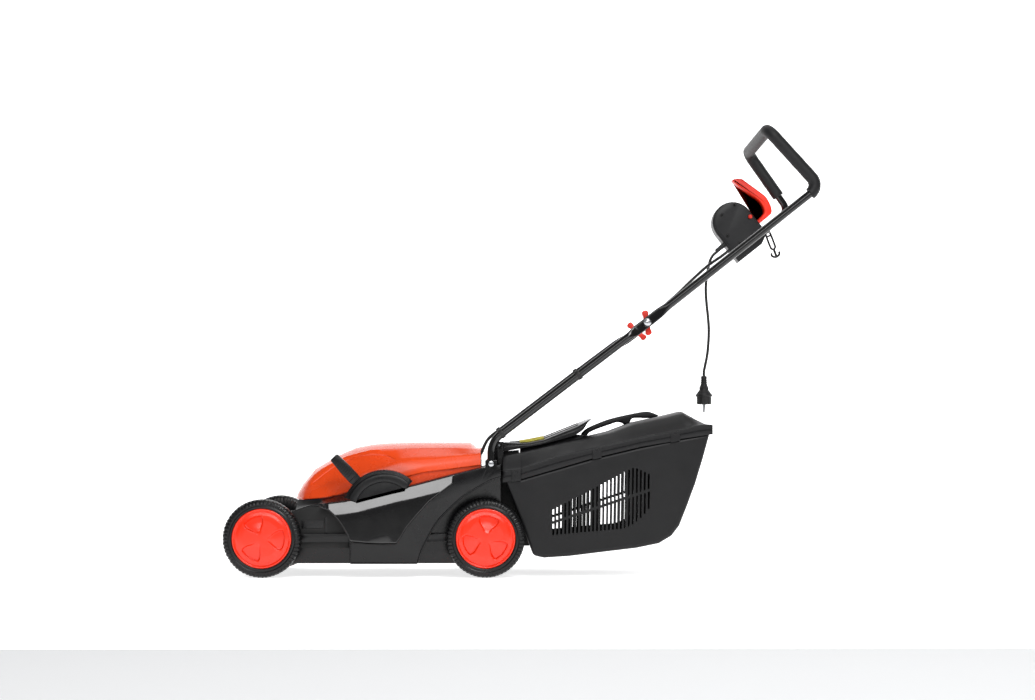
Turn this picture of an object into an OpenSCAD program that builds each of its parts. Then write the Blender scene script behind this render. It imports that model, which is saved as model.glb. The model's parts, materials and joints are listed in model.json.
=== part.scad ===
// Corded electric lawn mower: rotary deck, height adjuster, grass box and folding handle.
// +X points to the rear, where the user stands, +Z is up, and the ground is at z = 0.

/* [Chassis] */
// Distance from the front wheel spindles to the rear ones
wheelbase = 480; // [470:1:490]
// X of the rear wheel spindles
rear_spindle_x = -82.6; // [-84:0.1:-80]
// Outer diameter of a wheel
wheel_d = 168; // [160:1:170]
// Width of a wheel
wheel_w = 32; // [28:1:32]
// Overall width across the wheels
track_w = 400; // [396:1:410]
// Half width of the deck between the wheels of one side
core_hw = 156.5; // [150:0.5:156.5]
// Half width of the deck at its side fenders
side_hw = 186; // [184:0.5:187]
// Wall thickness of the plastic mouldings
wall = 3; // [2:0.5:4]
// Height of the skirt's bottom edge above the ground
skirt_z = 29; // [26:1:34]

/* [Cutting] */
// Length of the blade from tip to tip
blade_len = 294; // [280:1:300]
// Height of the blade above the ground at the lowest setting
blade_z = 38; // [36:1:44]
// Inner diameter of the cutting chamber
chamber_d = 306; // [304:1:308]
// Height of the cutting chamber's ceiling
ceiling_z = 112; // [105:1:116]

/* [Height adjuster] */
// Radius of the cranks that carry the wheels
crank_r = 35; // [30:1:36]
// Angle of the cranks above the horizontal at the lowest setting
crank_a = 35; // [30:1:36]
// Angle of the height lever from the +X direction at the lowest setting
lever_a = 133; // [128:1:136]
// Length of the height lever from its pivot
lever_len = 160; // [150:1:165]

/* [Handle] */
// Outer diameter of the handle tubes
tube_d = 17; // [16:0.5:18]
// Distance of each handle tube from the middle plane
handle_y = 176; // [174:1:177]
// Angle of the lower handle tubes above the horizontal
lower_a = 37.3; // [36:0.1:39]
// Angle of the upper handle tubes above the horizontal
upper_a = 38.3; // [37:0.1:40]
// Distance from the fold bolt to the corner of the grip loop
grip_reach = 479; // [474:0.1:482]
// Outer diameter of the foam grip
foam_d = 27; // [25:1:30]

/* [Grass box] */
// Half width of the grass box body
box_hw = 163; // [158:1:164]
// Half width of the grass box lid at its lip
lid_hw = 166; // [163:1:166]
// Number of ventilation slots in each side of the box
vent_count = 25; // [20:1:26]

/* [Hidden] */
$fn = 48;
e = 0.01;

spindle_z = wheel_d / 2;
front_spindle_x = rear_spindle_x - wheelbase;
crank_dx = crank_r * cos(crank_a);
crank_dz = crank_r * sin(crank_a);
front_pivot = [front_spindle_x - crank_dx, spindle_z - crank_dz];
rear_pivot = [rear_spindle_x - crank_dx, spindle_z - crank_dz];
wheel_in = track_w / 2 - wheel_w;
blade_x = rear_spindle_x - wheelbase / 2;
lever_pivot = [-300, 142];
lever_pin = [lever_pivot[0] + crank_dx, lever_pivot[1] + crank_dz];
crank_t = 4.5;
crank_y = core_hw + 1;
link_y = crank_y + crank_t + 0.5;
link_t = 4.5;
motor_x = blade_x;

// Top edge of the deck from the nose to the rear, seen from the side
deck_top = [[-498, 142], [-473, 151], [-452, 155.5], [-406, 162], [-359, 167.5], [-264, 192],
    [-234, 199], [-151, 221], [-96, 234], [-50, 241]];
nose = [[-520, 29], [-592, 36], [-610, 60], [-612, 95], [-600, 122], [-560, 132], [-520, 136]];
front_arch = [[-373, 29], [-373, 77], [-386, 104], [-408, 133], [-422, 145], [-440, 152]];
rear_arch = [[-50, 216], [-71, 209], [-97, 195], [-130, 175], [-160, 148.5], [-187, 120],
    [-206, 88], [-221, 57], [-230, 29]];

// ---- handle geometry ----
fold_pt = [267, 549.7];
lower_dir = [cos(lower_a), sin(lower_a)];
upper_dir = [cos(upper_a), sin(upper_a)];
foot_x = -71;
foot_bottom_z = 222;
foot_corner_z = fold_pt[1] + (foot_x - fold_pt[0]) * tan(lower_a);
plate_t = 7.6;
plate_half_h = 11;
function along(p, dir, s, y) = [p[0] + dir[0] * s, y, p[1] + dir[1] * s];
function off(p, dir, s, n, y) = [p[0] + dir[0] * s - dir[1] * n, y, p[1] + dir[1] * s + dir[0] * n];
grip_bend_r = 24;
grip_top = [531, 971];
function grip_path(first) = [along(fold_pt, upper_dir, first, -handle_y),
    along(fold_pt, upper_dir, grip_reach, -handle_y),
    [grip_top[0], -handle_y, grip_top[1]],
    [grip_top[0], handle_y, grip_top[1]],
    along(fold_pt, upper_dir, grip_reach - 21, handle_y),
    along(fold_pt, upper_dir, first, handle_y)];

// ---- cord and cable routes, in the order in which they run ----
cord_d = 6.4;
cable_d = 7;
pigtail_route = [[461.7, 158, 741.3], [453.8, 158, 735], [446, 158, 728], [440, 158, 718], [436, 157, 704],
    [432, 157, 685], [429, 156, 660], [428.5, 156, 640], [430, 156, 615], [433, 156, 585], [435, 156, 555],
    [434, 156, 525], [431, 156, 495], [426.5, 156, 472], [423.5, 156, 458], [423, 156, 452], [423, 156, 445]];
cable_upper_route = [[488, 158, 743], [476, 158, 733.5], [462, 154, 723], [446, 138, 712], [425, 100, 696],
    [400, 50, 674], [372, -5, 648], [345, -60, 622], [320, -105, 600], [300, -130, 582], [288, -138, 571],
    [278, -140, 561]];
cable_lower_route = [[255, -140, 541], [243, -142, 533], [225, -150, 523], [200, -160, 509],
    [170, -164, 487], [121.2, -164, 450.6], [102.2, -164, 436.1], [-45, -164, 324],
    [-64.1, -164, 309.4], [-77, -158.5, 298], [-86, -150, 283], [-90, -143.5, 272], [-94.5, -140, 265],
    [-104, -136, 260]];

// ---- helpers ----
module ends(y0, y1) translate([0, y1, 0]) rotate([90, 0, 0]) linear_extrude(y1 - y0) children();
module both_sides() { children(); mirror([0, 1, 0]) children(); }
module rod_y(x, y0, y1, z, d) translate([x, y0, z]) rotate([-90, 0, 0]) cylinder(h = y1 - y0, d = d);
module at_angle(a) rotate([0, -a, 0]) children();
module place(p, y) translate([p[0], y, p[1]]) children();

// A 2-D child made smaller by t along each axis, kept as an exact outline
module inset(t) intersection() {
    translate([t, 0]) children();
    translate([-t, 0]) children();
    translate([0, t]) children();
    translate([0, -t]) children();
}

function unit(v) = v / norm(v);

// Points along a route whose corners are rounded to radius r, with steps points in each bend
function rounded(pts, r, steps = 7) = [for (i = [0 : len(pts) - 1])
    if (i == 0 || i == len(pts) - 1) pts[i] else
        let (u = unit(pts[i] - pts[i - 1]), v = unit(pts[i + 1] - pts[i]), t = acos(u * v),
            n = unit(v - u * (u * v)), a = pts[i] - u * r * tan(t / 2))
        each [for (k = [0 : steps - 1]) let (b = t * k / (steps - 1))
            a + u * r * sin(b) + n * r * (1 - cos(b))]];

// A round bar or cord swept along a route as one mesh, its rings turning as little as they can
function tangent(route, i) = let (n = len(route) - 1)
    unit(unit(route[min(i + 1, n)] - route[max(min(i, n - 1), 0)])
        + unit(route[max(min(i, n), 1)] - route[max(i - 1, 0)]));
function carried(s, t) = unit(s - t * (s * t));
function frames(route) = [for (i = 0, t = tangent(route, 0), s = carried([0.31, 0.9, 0.3], t);
    i < len(route);
    i = i + 1, t = tangent(route, min(i, len(route) - 1)), s = carried(s, t)) [s, cross(t, s)]];
module swept(route, d, sides = 8) {
    n = len(route);
    f = frames(route);
    rings = [for (i = [0 : n - 1]) for (j = [0 : sides - 1]) let (a = 360 * j / sides)
        route[i] + d / 2 * (f[i][0] * cos(a) + f[i][1] * sin(a))];
    walls = [for (i = [0 : n - 2]) for (j = [0 : sides - 1]) let (k = (j + 1) % sides)
        [i * sides + k, i * sides + j, (i + 1) * sides + j, (i + 1) * sides + k]];
    polyhedron(rings, concat([[for (j = [0 : sides - 1]) j]], walls,
        [[for (j = [sides - 1 : -1 : 0]) (n - 1) * sides + j]]));
}

// ---- deck ----
module core_profile() polygon(concat(nose, deck_top, [[-50, 60], [-80, 29]]));
module plan_outline(hw) polygon([[-560, -hw], [-596, -hw + 22], [-612, -hw + 55],
    [-612, hw - 55], [-596, hw - 22], [-560, hw], [-50, hw], [-50, -hw]]);
module fender_profile() polygon(concat(front_arch, [for (p = deck_top) if (p[0] > -430) p], rear_arch));
module tunnel_profile(t) polygon([[blade_x, ceiling_z - 30 - t], [blade_x, ceiling_z + t],
    [-205, ceiling_z + t], [-112, 205 + t], [-40, 205 + t], [-40, 92 - t], [-165, 80 - t]]);
socket_hw = 13;

module deck() color("#1b1b1d") difference() {
    union() {
        difference() {
            intersection() {
                ends(-core_hw, core_hw) core_profile();
                linear_extrude(400) plan_outline(core_hw);
            }
            // Open space under the hood
            intersection() {
                translate([0, 0, ceiling_z + wall]) linear_extrude(300) plan_outline(core_hw - wall);
                ends(-core_hw, core_hw) translate([wall, 0]) intersection() {
                    core_room();
                    translate([-2 * wall, 0]) core_room();
                }
            }
            // Open space under the deck, outside the cutting chamber
            intersection() {
                translate([0, 0, -1]) linear_extrude(ceiling_z + 1) plan_outline(core_hw - wall);
                ends(-core_hw, core_hw) translate([wall, 0]) intersection() {
                    core_room();
                    translate([-2 * wall, 0]) core_room();
                }
            }
        }
        translate([blade_x, 0, skirt_z]) cylinder(h = ceiling_z - skirt_z + wall, d = chamber_d + 2 * wall);
        intersection() {
            ends(-98, 98) tunnel_profile(wall);
            translate([blade_x, -120, 0]) cube([-50 - blade_x, 240, 400]);
        }
        both_sides() ends(-side_hw, -core_hw + e) difference() {
            fender_profile();
            inset(wall) fender_profile();
        }
        both_sides() ends(-side_hw, -side_hw + wall) fender_profile();
        // Sockets for the feet of the handle
        both_sides() translate([foot_x - socket_hw, -side_hw, 214]) cube([2 * socket_hw, 26, 38]);
        // Ears for the rod of the rear flap
        both_sides() ends(-128, -118) polygon([[-64, 230], [-64, 292], [-44, 292], [-44, 230]]);
        // Bearing blocks of the two crank axles
        for (p = [front_pivot, rear_pivot]) both_sides()
            translate([p[0] - 9, -core_hw + 2, p[1] - 9]) cube([18, 12, 20]);
        // Pillars for the hood's screws
        for (x = [-470, -180]) both_sides() translate([x, -120, ceiling_z]) cylinder(h = 36, d = 14);
    }
    translate([blade_x, 0, 0]) cylinder(h = ceiling_z, d = chamber_d);
    ends(-95, 95) tunnel_profile(0);
    // Motor seat and the hole for the shaft
    translate([blade_x, 0, 0]) cylinder(h = 200, d = 46);
    // Windows in the fenders' front walls for the link rod
    translate([-440, -link_y - link_t - 3, 30]) cube([75, link_t + 6, 75]);
    translate([-240, -link_y - link_t - 3, 30]) cube([100, link_t + 6, 75]);
    both_sides() rod_y(foot_x, -side_hw - 1, -side_hw + 30, 244, 6.2);
    both_sides() translate([foot_x, -handle_y, foot_bottom_z]) cylinder(h = 60, d = tube_d);
    for (p = [front_pivot, rear_pivot]) both_sides() rod_y(p[0], -core_hw - 1, -core_hw + 34, p[1], 10.1);
    rod_y(lever_pivot[0], -side_hw - 1, -side_hw + wall + 1, lever_pivot[1], 16.1);
    both_sides() rod_y(-54, -130, -116, 284, 5);
    for (x = [-470, -180]) both_sides() translate([x, -120, ceiling_z - 5]) cylinder(h = 60, d = 4);
    for (a = [45 : 90 : 315]) translate([blade_x, 0, 0]) rotate(a)
        translate([46, 0, ceiling_z - 5]) cylinder(h = 30, d = 5.2);
}
module core_room() polygon(concat(nose, [[-498, 400], [-50, 400], [-50, -2], [-520, -2]]));

module side_panel_shape() difference() {
    polygon(concat([[-373, 77], [-386, 104], [-408, 133], [-422, 145], [-440, 152]],
        [[-425, 158.5], [-359, 167], [-264, 191.5], [-234, 198.5], [-151, 220.5], [-152, 202],
        [-178, 182.5], [-205, 161], [-231, 132], [-253, 105.5], [-267, 82], [-274, 73]]));
    translate(lever_pivot) circle(d = 18);
}
module side_panel_left() color("#101012") ends(-side_hw - 2, -side_hw) side_panel_shape();
module side_panel_right() color("#101012") ends(side_hw, side_hw + 2) side_panel_shape();

// ---- hood ----
hood_top = [[-504, 168], [-500, 181], [-476, 215], [-462, 232], [-441, 244], [-420, 257], [-396, 269],
    [-372, 279], [-337, 286], [-303, 289], [-233, 291], [-140, 291], [-117, 290], [-105, 278], [-94, 277]];
hood_base = [[-94, 236], [-151, 222], [-234, 200], [-264, 193], [-359, 168.5], [-406, 163],
    [-452, 156.5], [-473, 152], [-498, 152]];
module hood_profile(t) translate([0, -t]) polygon(concat(
    [for (p = hood_top) [p[0] + (p[0] < -300 ? t : -t), p[1]]],
    [for (p = hood_base) [p[0] + (p[0] < -300 ? t : -t), p[1] - (t > 0 ? 20 : 0)]]));
module hood_plan(t) polygon([[-506 + t, -104], [-490, -120 + t], [-430, -146 + t], [-350, -158 + t],
    [-250, -163 + t], [-90, -163 + t], [-90, 163 - t], [-250, 163 - t], [-350, 158 - t],
    [-430, 146 - t], [-490, 120 - t], [-506 + t, 104]]);
module hood_section(t) translate([0, -t]) polygon([[-163, 140], [-163, 235], [-160, 252], [-150, 264],
    [-128, 277], [-90, 286], [-45, 290.5], [0, 291.5], [45, 290.5], [90, 286], [128, 277], [150, 264],
    [160, 252], [163, 235], [163, 140]]);
module hood_solid(t) intersection() {
    ends(-170, 170) hood_profile(t);
    linear_extrude(400) hood_plan(t);
    translate([-520, 0, 0]) rotate([90, 0, 90]) linear_extrude(440) hood_section(t);
}
module hood() color("#f4512c") difference() {
    hood_solid(0);
    hood_solid(wall);
    // Cable inlet at the rear edge
    translate([-110, -149, 253]) cube([40, 17, 24]);
}
module hood_screws() color("#8a8c90") for (x = [-470, -180]) both_sides()
    translate([x, -120, ceiling_z - 4]) union() { cylinder(h = 40, d = 3.9); cylinder(h = 3, d = 8); }

// ---- motor and blade ----
motor_z = ceiling_z + wall;
module motor_housing_lower() color("#b9bbbe") translate([motor_x, 0, motor_z]) difference() {
    union() {
        cylinder(h = 30, d = 118);
        cylinder(h = 5, d = 126);
        for (a = [45 : 90 : 315]) rotate(a) translate([55, 0, 0]) cylinder(h = 27, d = 12);
    }
    translate([0, 0, 6]) cylinder(h = 40, d = 108);
    translate([0, 0, -1]) cylinder(h = 10, d = 28);
    for (a = [45 : 90 : 315]) rotate(a) translate([46, 0, -1]) cylinder(h = 10, d = 5.2);
}
module motor_housing_upper() color("#b9bbbe") translate([motor_x, 0, motor_z + 82]) difference() {
    union() {
        cylinder(h = 30, d = 118);
        for (a = [0 : 30 : 330]) rotate(a) translate([40, -1.5, 30]) cube([18, 3, 8]);
    }
    translate([0, 0, -1]) cylinder(h = 25, d = 108);
    translate([0, 0, -1]) cylinder(h = 40, d = 28);
}
module stator_core() color("#5c5f63") translate([motor_x, 0, motor_z + 30]) difference() {
    cylinder(h = 52, d = 116);
    translate([0, 0, -1]) cylinder(h = 60, d = 61);
    for (i = [0 : 23]) rotate(i * 15) translate([36, -2.5, -1]) cube([14, 5, 60]);
}
module stator_windings() color("#b5652a") translate([motor_x, 0, motor_z]) {
    for (z = [12, 82]) translate([0, 0, z]) difference() {
        cylinder(h = 18, d = 100);
        translate([0, 0, -1]) cylinder(h = 20, d = 70);
    }
    for (i = [0 : 23]) rotate(i * 15) translate([37, -2, 29]) cube([12, 4, 54]);
}
module rotor() color("#9a9da1") translate([motor_x, 0, 0]) {
    translate([0, 0, motor_z + 30]) cylinder(h = 52, d = 60);
    translate([0, 0, blade_z + 21]) cylinder(h = motor_z + 138 - blade_z - 21, d = 12);
}
module motor_bearings() color("#c8cacc") translate([motor_x, 0, motor_z]) {
    for (z = [0, 100]) translate([0, 0, z]) difference() {
        cylinder(h = 9, d = 28);
        translate([0, 0, -1]) cylinder(h = 12, d = 12.1);
    }
}
module cooling_fan() color("#2a2a2c") translate([motor_x, 0, motor_z + 123]) difference() {
    union() {
        cylinder(h = 3, d = 96);
        cylinder(h = 12, d = 24);
        for (i = [0 : 8]) rotate(i * 40) translate([11, -1, 0]) cube([35, 2, 12]);
    }
    translate([0, 0, -1]) cylinder(h = 20, d = 12);
}
module motor_bolts() color("#8a8c90") translate([motor_x, 0, ceiling_z - 4]) for (a = [45 : 90 : 315])
    rotate(a) translate([46, 0, 0]) union() { cylinder(h = 17, d = 5); cylinder(h = 3.9, d = 9); }
module run_capacitor() color("#c9c9c5") translate([-222, -60, 165]) rotate([0, 0, 0]) {
    cylinder(h = 62, d = 38);
    for (y = [-7, 7]) translate([-1, y - 3, 62]) cube([1.5, 6, 9]);
}
module blade_carrier() color("#26262a") translate([blade_x, 0, blade_z + 3]) difference() {
    union() {
        cylinder(h = 10, d = 62);
        cylinder(h = 40, d = 34);
        for (i = [0 : 7]) rotate(i * 45) translate([16, -1.5, 9]) cube([22, 3, 14]);
    }
    translate([0, 0, 18]) cylinder(h = 40, d = 12);
    translate([0, 0, -1]) cylinder(h = 30, d = 8.1);
}
module blade() color("#3f4246") translate([blade_x, 0, blade_z]) difference() {
    union() {
        translate([-blade_len / 2 + 12, -24, 0]) cube([blade_len - 24, 48, 3]);
        for (m = [0, 180]) rotate(m) {
            translate([blade_len / 2 - 45, -24, 0]) cube([45, 30, 3]);
            translate([blade_len / 2 - 70, 23, 2.9]) rotate([90, 0, 90])
                linear_extrude(58) polygon([[0, -2.9], [1, 12], [-2, 12], [-4, 0], [-4, -2.9]]);
        }
    }
    translate([0, 0, -1]) cylinder(h = 5, d = 8.1);
}
module blade_bolt() color("#8a8c90") translate([blade_x, 0, blade_z - 9]) {
    cylinder(h = 6, d = 15, $fn = 6);
    translate([0, 0, 6]) cylinder(h = 3, d = 26);
    cylinder(h = 29, d = 8);
}

// ---- wheels and height adjuster ----
module crank_axle(p) {
    rod_y(p[0], -crank_y - crank_t, crank_y + crank_t, p[1], 10);
    both_sides() {
        translate([p[0], -crank_y, p[1]]) rotate([90, 0, 0]) linear_extrude(crank_t) rotate(crank_a)
            union() {
                circle(d = 18);
                translate([0, -8]) square([crank_r, 16]);
                translate([crank_r, 0]) circle(d = 16);
            }
        rod_y(p[0] + crank_dx, -track_w / 2 + 7, -crank_y - 1, p[1] + crank_dz, 10);
    }
}
module front_axle() color("#8f9296") crank_axle(front_pivot);
module rear_axle() color("#8f9296") crank_axle(rear_pivot);
module axle_straps() color("#8f9296") for (p = [front_pivot, rear_pivot]) both_sides() difference() {
    translate([p[0] - 10, -110, p[1] - 9]) cube([25, 14, 18]);
    rod_y(p[0], -111, -95, p[1], 10.1);
}
module link_rod() color("#303236") translate([0, -link_y, 0]) rotate([90, 0, 0]) linear_extrude(link_t)
    difference() {
        union() {
            for (x = [front_spindle_x, rear_spindle_x]) translate([x, spindle_z]) circle(d = 26);
            translate([front_spindle_x, spindle_z - 9]) square([wheelbase, 18]);
            translate([lever_pin[0] - 10, spindle_z]) square([20, lever_pin[1] - spindle_z]);
            translate(lever_pin) circle(d = 20);
        }
        for (x = [front_spindle_x, rear_spindle_x]) translate([x, spindle_z]) circle(d = 13);
        translate(lever_pin) circle(d = 8.6);
    }
module lever_blade() polygon([[0, -9], [60, -9], [95, -12.5], [120, -12.5], [lever_len - 2, -10],
    [lever_len, -8], [lever_len, 8], [lever_len - 2, 10], [120, 12.5], [95, 12.5], [60, 9], [0, 9]]);
module height_lever() color("#232326") {
    translate([lever_pivot[0], -side_hw - 2.6, lever_pivot[1]]) rotate([90, 0, 0]) linear_extrude(5)
        rotate(lever_a) lever_blade();
    translate([lever_pivot[0], -side_hw + 4, lever_pivot[1]]) rotate([90, 0, 0]) linear_extrude(17)
        rotate(lever_a) intersection() {
            lever_blade();
            translate([98, -20]) square([80, 40]);
        }
    rod_y(lever_pivot[0], -side_hw - 4, -link_y - link_t - 0.6, lever_pivot[1], 16);
    translate([lever_pivot[0], -link_y - link_t - 0.5, lever_pivot[1]]) rotate([90, 0, 0])
        linear_extrude(5) rotate(crank_a) union() {
            circle(d = 18);
            translate([0, -7]) square([crank_r, 14]);
            translate([crank_r, 0]) circle(d = 14);
        }
    rod_y(lever_pin[0], -link_y - link_t - 2, -link_y, lever_pin[1], 8);
}
guard_r = 90;
guard_inner_r = 63;
module sector(r, a0, a1) polygon(concat([[0, 0]],
    [for (i = [0 : 20]) let (a = a0 + (a1 - a0) * i / 20) r * 1.2 * [cos(a), sin(a)]]));
module lever_guard() color("#3a3a3d") translate([lever_pivot[0], 0, lever_pivot[1]]) {
    ends(-200, -side_hw - 8.2) difference() {
        intersection() { circle(r = guard_r, $fn = 96); sector(guard_r, 44, 165); }
        circle(r = guard_inner_r, $fn = 96);
    }
    ends(-197, -side_hw - 8.2) intersection() {
        circle(r = guard_inner_r + e, $fn = 96);
        translate([-80, -34]) square([160, 120]);
    }
    for (a = [[44, 49.5], [151, 165]]) ends(-side_hw - 8.3, -side_hw - 2) difference() {
        intersection() { circle(r = guard_r, $fn = 96); sector(guard_r, a[0], a[1]); }
        circle(r = guard_inner_r, $fn = 96);
    }
}

module wheel(x, side) color("#1c1c1e") translate([x, side * (track_w / 2 - wheel_w / 2), spindle_z])
    rotate([-90 * side, 0, 0]) difference() {
        rotate_extrude($fn = 120) polygon([[0, -13], [56, -13], [60, -16], [wheel_d / 2 - 8, -16],
            [wheel_d / 2 - 2, -13], [wheel_d / 2, -8], [wheel_d / 2, 8], [wheel_d / 2 - 2, 13],
            [wheel_d / 2 - 8, 16], [66, 16], [64, 6], [0, 6]]);
        cylinder(h = 80, d = 10.16, center = true);
    }
module hub_cap(x, side) color("#ee3b1f") translate([x, side * (track_w / 2), spindle_z])
    rotate([90 * side, 0, 0]) difference() {
        rotate_extrude($fn = 96) polygon([[0, 1.5], [40, 1.5], [56, 4], [60, 1], [63.8, 1], [63.8, 9.8],
            [58, 9.8], [54, 6.5], [40, 4.5], [0, 4.5]]);
        for (i = [0 : 2]) rotate(i * 120 + 90) intersection() {
            translate([0, 0, -1]) linear_extrude(3.6) difference() { circle(r = 48); circle(r = 14); }
            translate([0, 0, -1]) linear_extrude(3.6) polygon([[0, 0], [60, -36], [60, 36]]);
        }
    }
module front_wheel_left() wheel(front_spindle_x, -1);
module front_wheel_right() wheel(front_spindle_x, 1);
module rear_wheel_left() wheel(rear_spindle_x, -1);
module rear_wheel_right() wheel(rear_spindle_x, 1);
module front_hubcap_left() hub_cap(front_spindle_x, -1);
module front_hubcap_right() hub_cap(front_spindle_x, 1);
module rear_hubcap_left() hub_cap(rear_spindle_x, -1);
module rear_hubcap_right() hub_cap(rear_spindle_x, 1);
module axle_clips(x) color("#c0c2c5") both_sides() difference() {
    rod_y(x, -track_w / 2 + 7.2, -track_w / 2 + 8.6, spindle_z, 18);
    rod_y(x, -track_w / 2, -track_w / 2 + 20, spindle_z, 10);
}
module front_axle_clips() axle_clips(front_spindle_x);
module rear_axle_clips() axle_clips(rear_spindle_x);

// ---- rear flap ----
flap_pivot = [-54, 284];
flap_top = [[-50, 290], [-13, 293.5], [9, 296.5], [45, 304], [86, 321], [146, 344.5]];
flap_under = [[148, 341], [139, 333], [130, 316], [113, 306], [86, 298], [40, 286], [-6, 277], [-48, 270]];
module flap() color("#1d1d1f") difference() {
    union() {
        difference() {
            ends(-116, 116) polygon(concat(flap_top, flap_under));
            ends(-112.5, 112.5) translate([0, -3.5]) polygon(concat([[-60, 290]], flap_top, [[160, 352]],
                [[160, 200], [-60, 200]]));
        }
        rod_y(flap_pivot[0], -116, 116, flap_pivot[1], 13);
    }
    rod_y(flap_pivot[0], -117, 117, flap_pivot[1], 5.16);
    rod_y(flap_pivot[0], -30, 30, flap_pivot[1], 30);
}
module flap_rod() color("#9b9ea2") rod_y(flap_pivot[0], -132, 132, flap_pivot[1], 5);
spring_turns = 8;
spring_route = [for (i = [0 : spring_turns * 14]) let (a = 360 * i / 14)
    [flap_pivot[0] + 4 * cos(a), -11 + 2.7 * i / 14, flap_pivot[1] + 4 * sin(a)]];
module flap_spring() color("#b4b7ba") swept(spring_route, 2, 8);

// ---- grass box ----
box_outline = [[-44, 218], [20, 46], [43, 41], [98, 44.5], [167, 53], [243, 62], [292, 72], [319, 88],
    [336, 110], [354, 155], [371, 200], [388, 255], [403, 306], [336, 296], [255, 280], [171, 260.5],
    [146, 254], [-5, 210], [-20, 212]];
vent_pitch = 8.6;
vent_w = 4.3;
// Height of the vents' lower edge, of their middle bar and of their upper edge at a given x
function vent_low(x) = x < 200 ? 90 + (x - 60) * 0.09 : 102.6 + pow((x - 200) / 66, 2) * 42;
function vent_mid(x) = 117 + (x - 60) * 0.335;
function vent_high(x) = x < 236 ? 145 + (x - 60) * 0.52 : 236.5 - (x - 236) * 0.45;
module vents() for (i = [0 : vent_count - 1]) let (x = 61 + i * vent_pitch)
    for (span = [[vent_low(x), vent_mid(x) - 3], [vent_mid(x) + 3, vent_high(x)]])
        if (span[1] > span[0] + 5) translate([x, span[0]]) square([vent_w, span[1] - span[0]]);
module box_body() color("#2b2b2d") difference() {
    union() {
        ends(-box_hw, box_hw) polygon(box_outline);
    }
    ends(-box_hw + 2.5, box_hw - 2.5) inset(2.5) polygon(concat(
        [for (p = box_outline) if (p[1] < 300 && p[0] < 380 && p[1] < 190 + p[0] * 0.2) p],
        [[371, 200], [388, 255], [405, 340], [-44, 240]]));
    // Mouth that takes the clippings
    translate([-60, -104, 60]) cube([75, 208, 200]);
    ends(-box_hw - 1, -box_hw + 6) vents();
    ends(box_hw - 6, box_hw + 1) vents();
}
lid_lip_low = [[-5, 211.5], [146, 255.5], [171, 262], [255, 281.5], [336, 297.5], [404, 307.5]];
lid_lip_high = [[409, 328], [394, 329.5], [322, 313], [255, 300], [152, 277], [100, 266.5], [70, 259], [-7, 233]];
lid_crown = [[-7, 230], [-5, 266], [40, 278], [86, 284], [110, 287], [138, 296], [188, 316], [238, 334],
    [298, 348], [348, 360], [397, 330], [322, 300], [152, 260]];
lid_crown_hw = 134;
module box_lid() color("#222224") {
    difference() {
        ends(-lid_hw, lid_hw) polygon(concat(lid_lip_low, lid_lip_high));
        ends(-lid_crown_hw + 3, lid_crown_hw - 3) polygon([[0, 180], [0, 268], [390, 340], [390, 280]]);
        ends(-lid_hw + 3, lid_hw - 3) translate([0, -3]) polygon([[2, 180], [2, 238], [70, 259], [152, 277],
            [322, 313], [390, 329], [390, 270]]);
    }
    difference() {
        ends(-lid_crown_hw, lid_crown_hw) polygon(lid_crown);
        ends(-lid_crown_hw + 3, lid_crown_hw - 3) translate([0, -3]) inset(3) polygon(concat(
            [for (p = lid_crown) if (p[1] > 262) [p[0], p[1] + 3]], [[390, 240], [-7, 200]]));
    }
    // Cheeks beside the flap that reach forward to the deck
    both_sides() ends(-lid_hw, -131) polygon([[-46, 218], [-46, 256], [-4, 265], [8, 262], [8, 226]]);
    // Snap clips that hold the lid on the body
    for (c = [[-15, 214], [156, 258], [318, 295]]) both_sides()
        translate([c[0] - 9, -lid_hw - 2, c[1] - 3]) cube([18, 3, 20]);
}
carry_arch = [[128, 293.4], [128, 305], [134, 315], [146, 323.5], [168, 334], [199, 345], [248, 356.5],
    [275, 360], [287, 358], [303, 352.5], [300, 349], [276, 343.4], [271, 345.5], [246, 345], [241, 341.5],
    [240, 335.2], [226, 330.3], [223, 334.5], [217, 336], [208, 335], [191, 330], [167, 321.5], [150, 314],
    [143.5, 307], [142, 298.2]];
module carry_handle() color("#2d2d30") ends(-22, 22) polygon(carry_arch);

// ---- handle ----
function foot_route(low, last) = rounded([[foot_x, -handle_y, low], [foot_x, -handle_y, foot_corner_z],
    along(fold_pt, lower_dir, last, -handle_y)], 50);
tube_sides = 20;
module flat_end(dir, s0, s1, y0, y1) place(fold_pt, 0) rotate([0, -atan2(dir[1], dir[0]), 0])
    ends(y0, y1) difference() {
        union() {
            translate([s0, -plate_half_h]) square([s1 - s0, 2 * plate_half_h]);
            circle(r = plate_half_h);
        }
        circle(d = 8.16);
    }
module lower_tube() {
    difference() {
        swept(foot_route(foot_bottom_z, -38), tube_d, tube_sides);
        swept(foot_route(foot_bottom_z - 1, -56), tube_d - 3, tube_sides);
        rod_y(foot_x, -side_hw - 1, -side_hw + 30, 244, 6.2);
    }
    flat_end(lower_dir, -50, 0, -handle_y + 0.2, -handle_y + 0.2 + plate_t);
}
module lower_tube_left() color("#0e0e10") lower_tube();
module lower_tube_right() color("#0e0e10") mirror([0, 1, 0]) lower_tube();
module tube_screws() color("#b8babd") both_sides() union() {
    rod_y(foot_x, -side_hw, -side_hw + 28, 244, 6);
    rod_y(foot_x, -side_hw - 3.5, -side_hw, 244, 12);
}
module upper_handle() color("#0e0e10") {
    difference() {
        swept(rounded(grip_path(45), grip_bend_r), tube_d, tube_sides);
        swept(rounded(grip_path(60), grip_bend_r), tube_d - 3, tube_sides);
    }
    both_sides() flat_end(upper_dir, 0, 55, -handle_y - 0.2 - plate_t, -handle_y - 0.2);
}
foam_path = let (g = grip_path(45)) [along(fold_pt, upper_dir, grip_reach - 26, -handle_y), g[1], g[2], g[3],
    g[4] + unit(g[3] - g[4]) * 42];
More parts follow.
